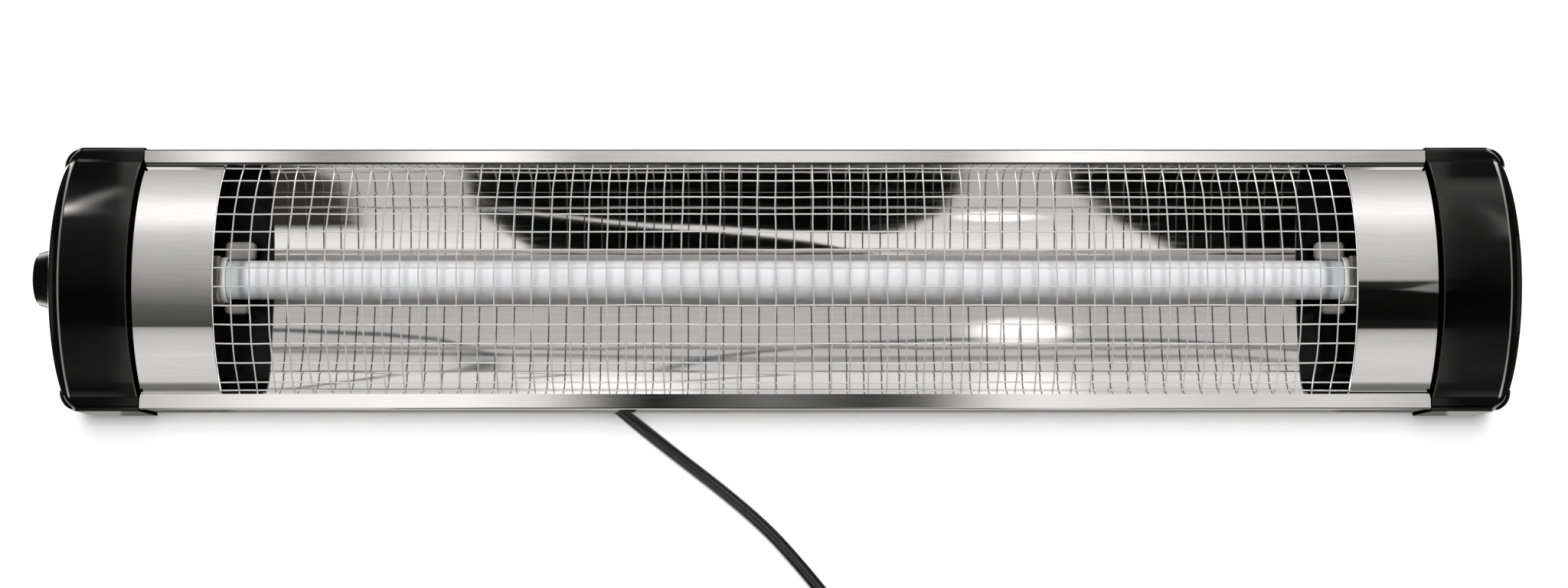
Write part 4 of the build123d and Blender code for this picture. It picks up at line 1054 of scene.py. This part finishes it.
def makeWindowLight(tree, angle, side, r):
    # what the trough shows: light walls with cables across them, lamps and dark screens
    light = ramp(tree, angle, r["window"], angleSpan)
    for line in r["lines"]:
        near = nearLine(tree, angle, angleAt(tree, side, line["path"]), line["half"], r["lineSoft"])
        shadow = both(tree, near, between(tree, side, *line["span"], r["spanSoft"]))
        light = mixColours(tree, both(tree, shadow, line["dark"]), light, r["lineColour"])
    for place, height, wide, tall, level in r["lamps"]:
        across = math2(tree, "DIVIDE", math2(tree, "SUBTRACT", side, place), wide)
        up = math2(tree, "DIVIDE", math2(tree, "SUBTRACT", angle, height), tall)
        away = math2(tree, "ADD", both(tree, across, across), both(tree, up, up))
        light = addLight(tree, light, opposite(tree, past(tree, away, 1.0, r["lampSoft"])), level)
    light = mixColours(tree, makeScreens(tree, angle, side, r), light, (r["screenLight"],) * 3)
    beforeEdge = opposite(tree, past(tree, side, slopeAt(tree, angle, r["brownEdge"]), r["brownSoft"]))
    corner = both(tree, beforeEdge, between(tree, angle, *r["brownSpan"]))
    light = mixColours(tree, corner, light, r["brownCorner"])
    for face, table in (("bottomFace", "bottomRail"), ("topFace", "topRail")):
        light = mixColours(tree, between(tree, angle, *r[face]), light, ramp(tree, side, r[table], slopeSpan))
    return light


def addLight(tree, colour, mask, level):
    return mixColours(tree, 1.0, colour, both(tree, mask, level), "ADD")


def makeCapLight(tree, angle, side, r, word):
    # what a cap shows: soft light by angle and one bright streak
    streak = r[word + "Streak"]
    line = angleAt(tree, side, streak["path"], capSpan)
    level = ramp(tree, side, streak["level"], capSpan)
    near = nearLine(tree, angle, line, streak["half"], streak["soft"])
    return addLight(tree, ramp(tree, angle, r[word + "Cap"], angleSpan), near, level)


def makeRoom(tree, angle, side, r):
    light = makeWindowLight(tree, angle, side, r)
    wedge = r["wedge"]
    line, half = angleAt(tree, side, wedge["path"]), widthAt(tree, side, wedge["half"])
    glint = both(tree, nearLine(tree, angle, line, half, wedge["soft"]), past(tree, side, *wedge["start"]))
    rightBand = addLight(tree, ramp(tree, angle, r["rightBand"], angleSpan), glint, wedge["level"])
    leftBand = ramp(tree, angle, r["leftBand"], angleSpan)
    rightCap = makeCapLight(tree, angle, side, r, "right")
    leftCap = makeCapLight(tree, angle, side, r, "left")
    for key, left, right in (("bandStart", leftBand, rightBand), ("capStart", leftCap, rightCap)):
        start, soft = r[key]
        light = mixColours(tree, past(tree, side, start, soft), light, right)
        light = mixColours(tree, opposite(tree, past(tree, side, -start, soft)), light, left)
    wide = past(tree, math2(tree, "ABSOLUTE", side), *r["rimStart"])
    light = mixColours(tree, wide, light, ramp(tree, side, r["beside"], besideSpan))
    return mixColours(tree, 1.0, light, r["tint"], "MULTIPLY")


def makeWorld(s, r):
    world = bpy.data.worlds.new("studioWorld")
    bpy.context.scene.world = world
    world.use_nodes = True
    tree = world.node_tree
    coords = tree.nodes.new("ShaderNodeTexCoord")
    split = tree.nodes.new("ShaderNodeSeparateXYZ")
    tree.links.new(coords.outputs["Generated"], split.inputs["Vector"])
    x, y, z = split.outputs
    angle = math2(tree, "DEGREES", math2(tree, "ARCTAN2", y, z))
    across = math2(tree, "SQRT", math2(tree, "ADD", both(tree, y, y), both(tree, z, z)))
    side = math2(tree, "DIVIDE", x, across)
    glossy = makeRoom(tree, angle, side, r)
    path = tree.nodes.new("ShaderNodeLightPath")
    ambient = ramp(tree, angle, s["ambient"], angleSpan)
    reflected = mixColours(tree, path.outputs["Is Glossy Ray"], ambient, glossy)
    seen = mixColours(tree, path.outputs["Is Camera Ray"], reflected, (1, 1, 1))
    background = tree.nodes["Background"]
    tree.links.new(seen, background.inputs["Color"])
    background.inputs["Strength"].default_value = 1.0


makeFloor(studio)
makeLamps(studio)
makeWorld(studio, room)
bpy.context.scene.view_settings.view_transform = "Standard"
print("studio made")

bpy.context.view_layer.update()
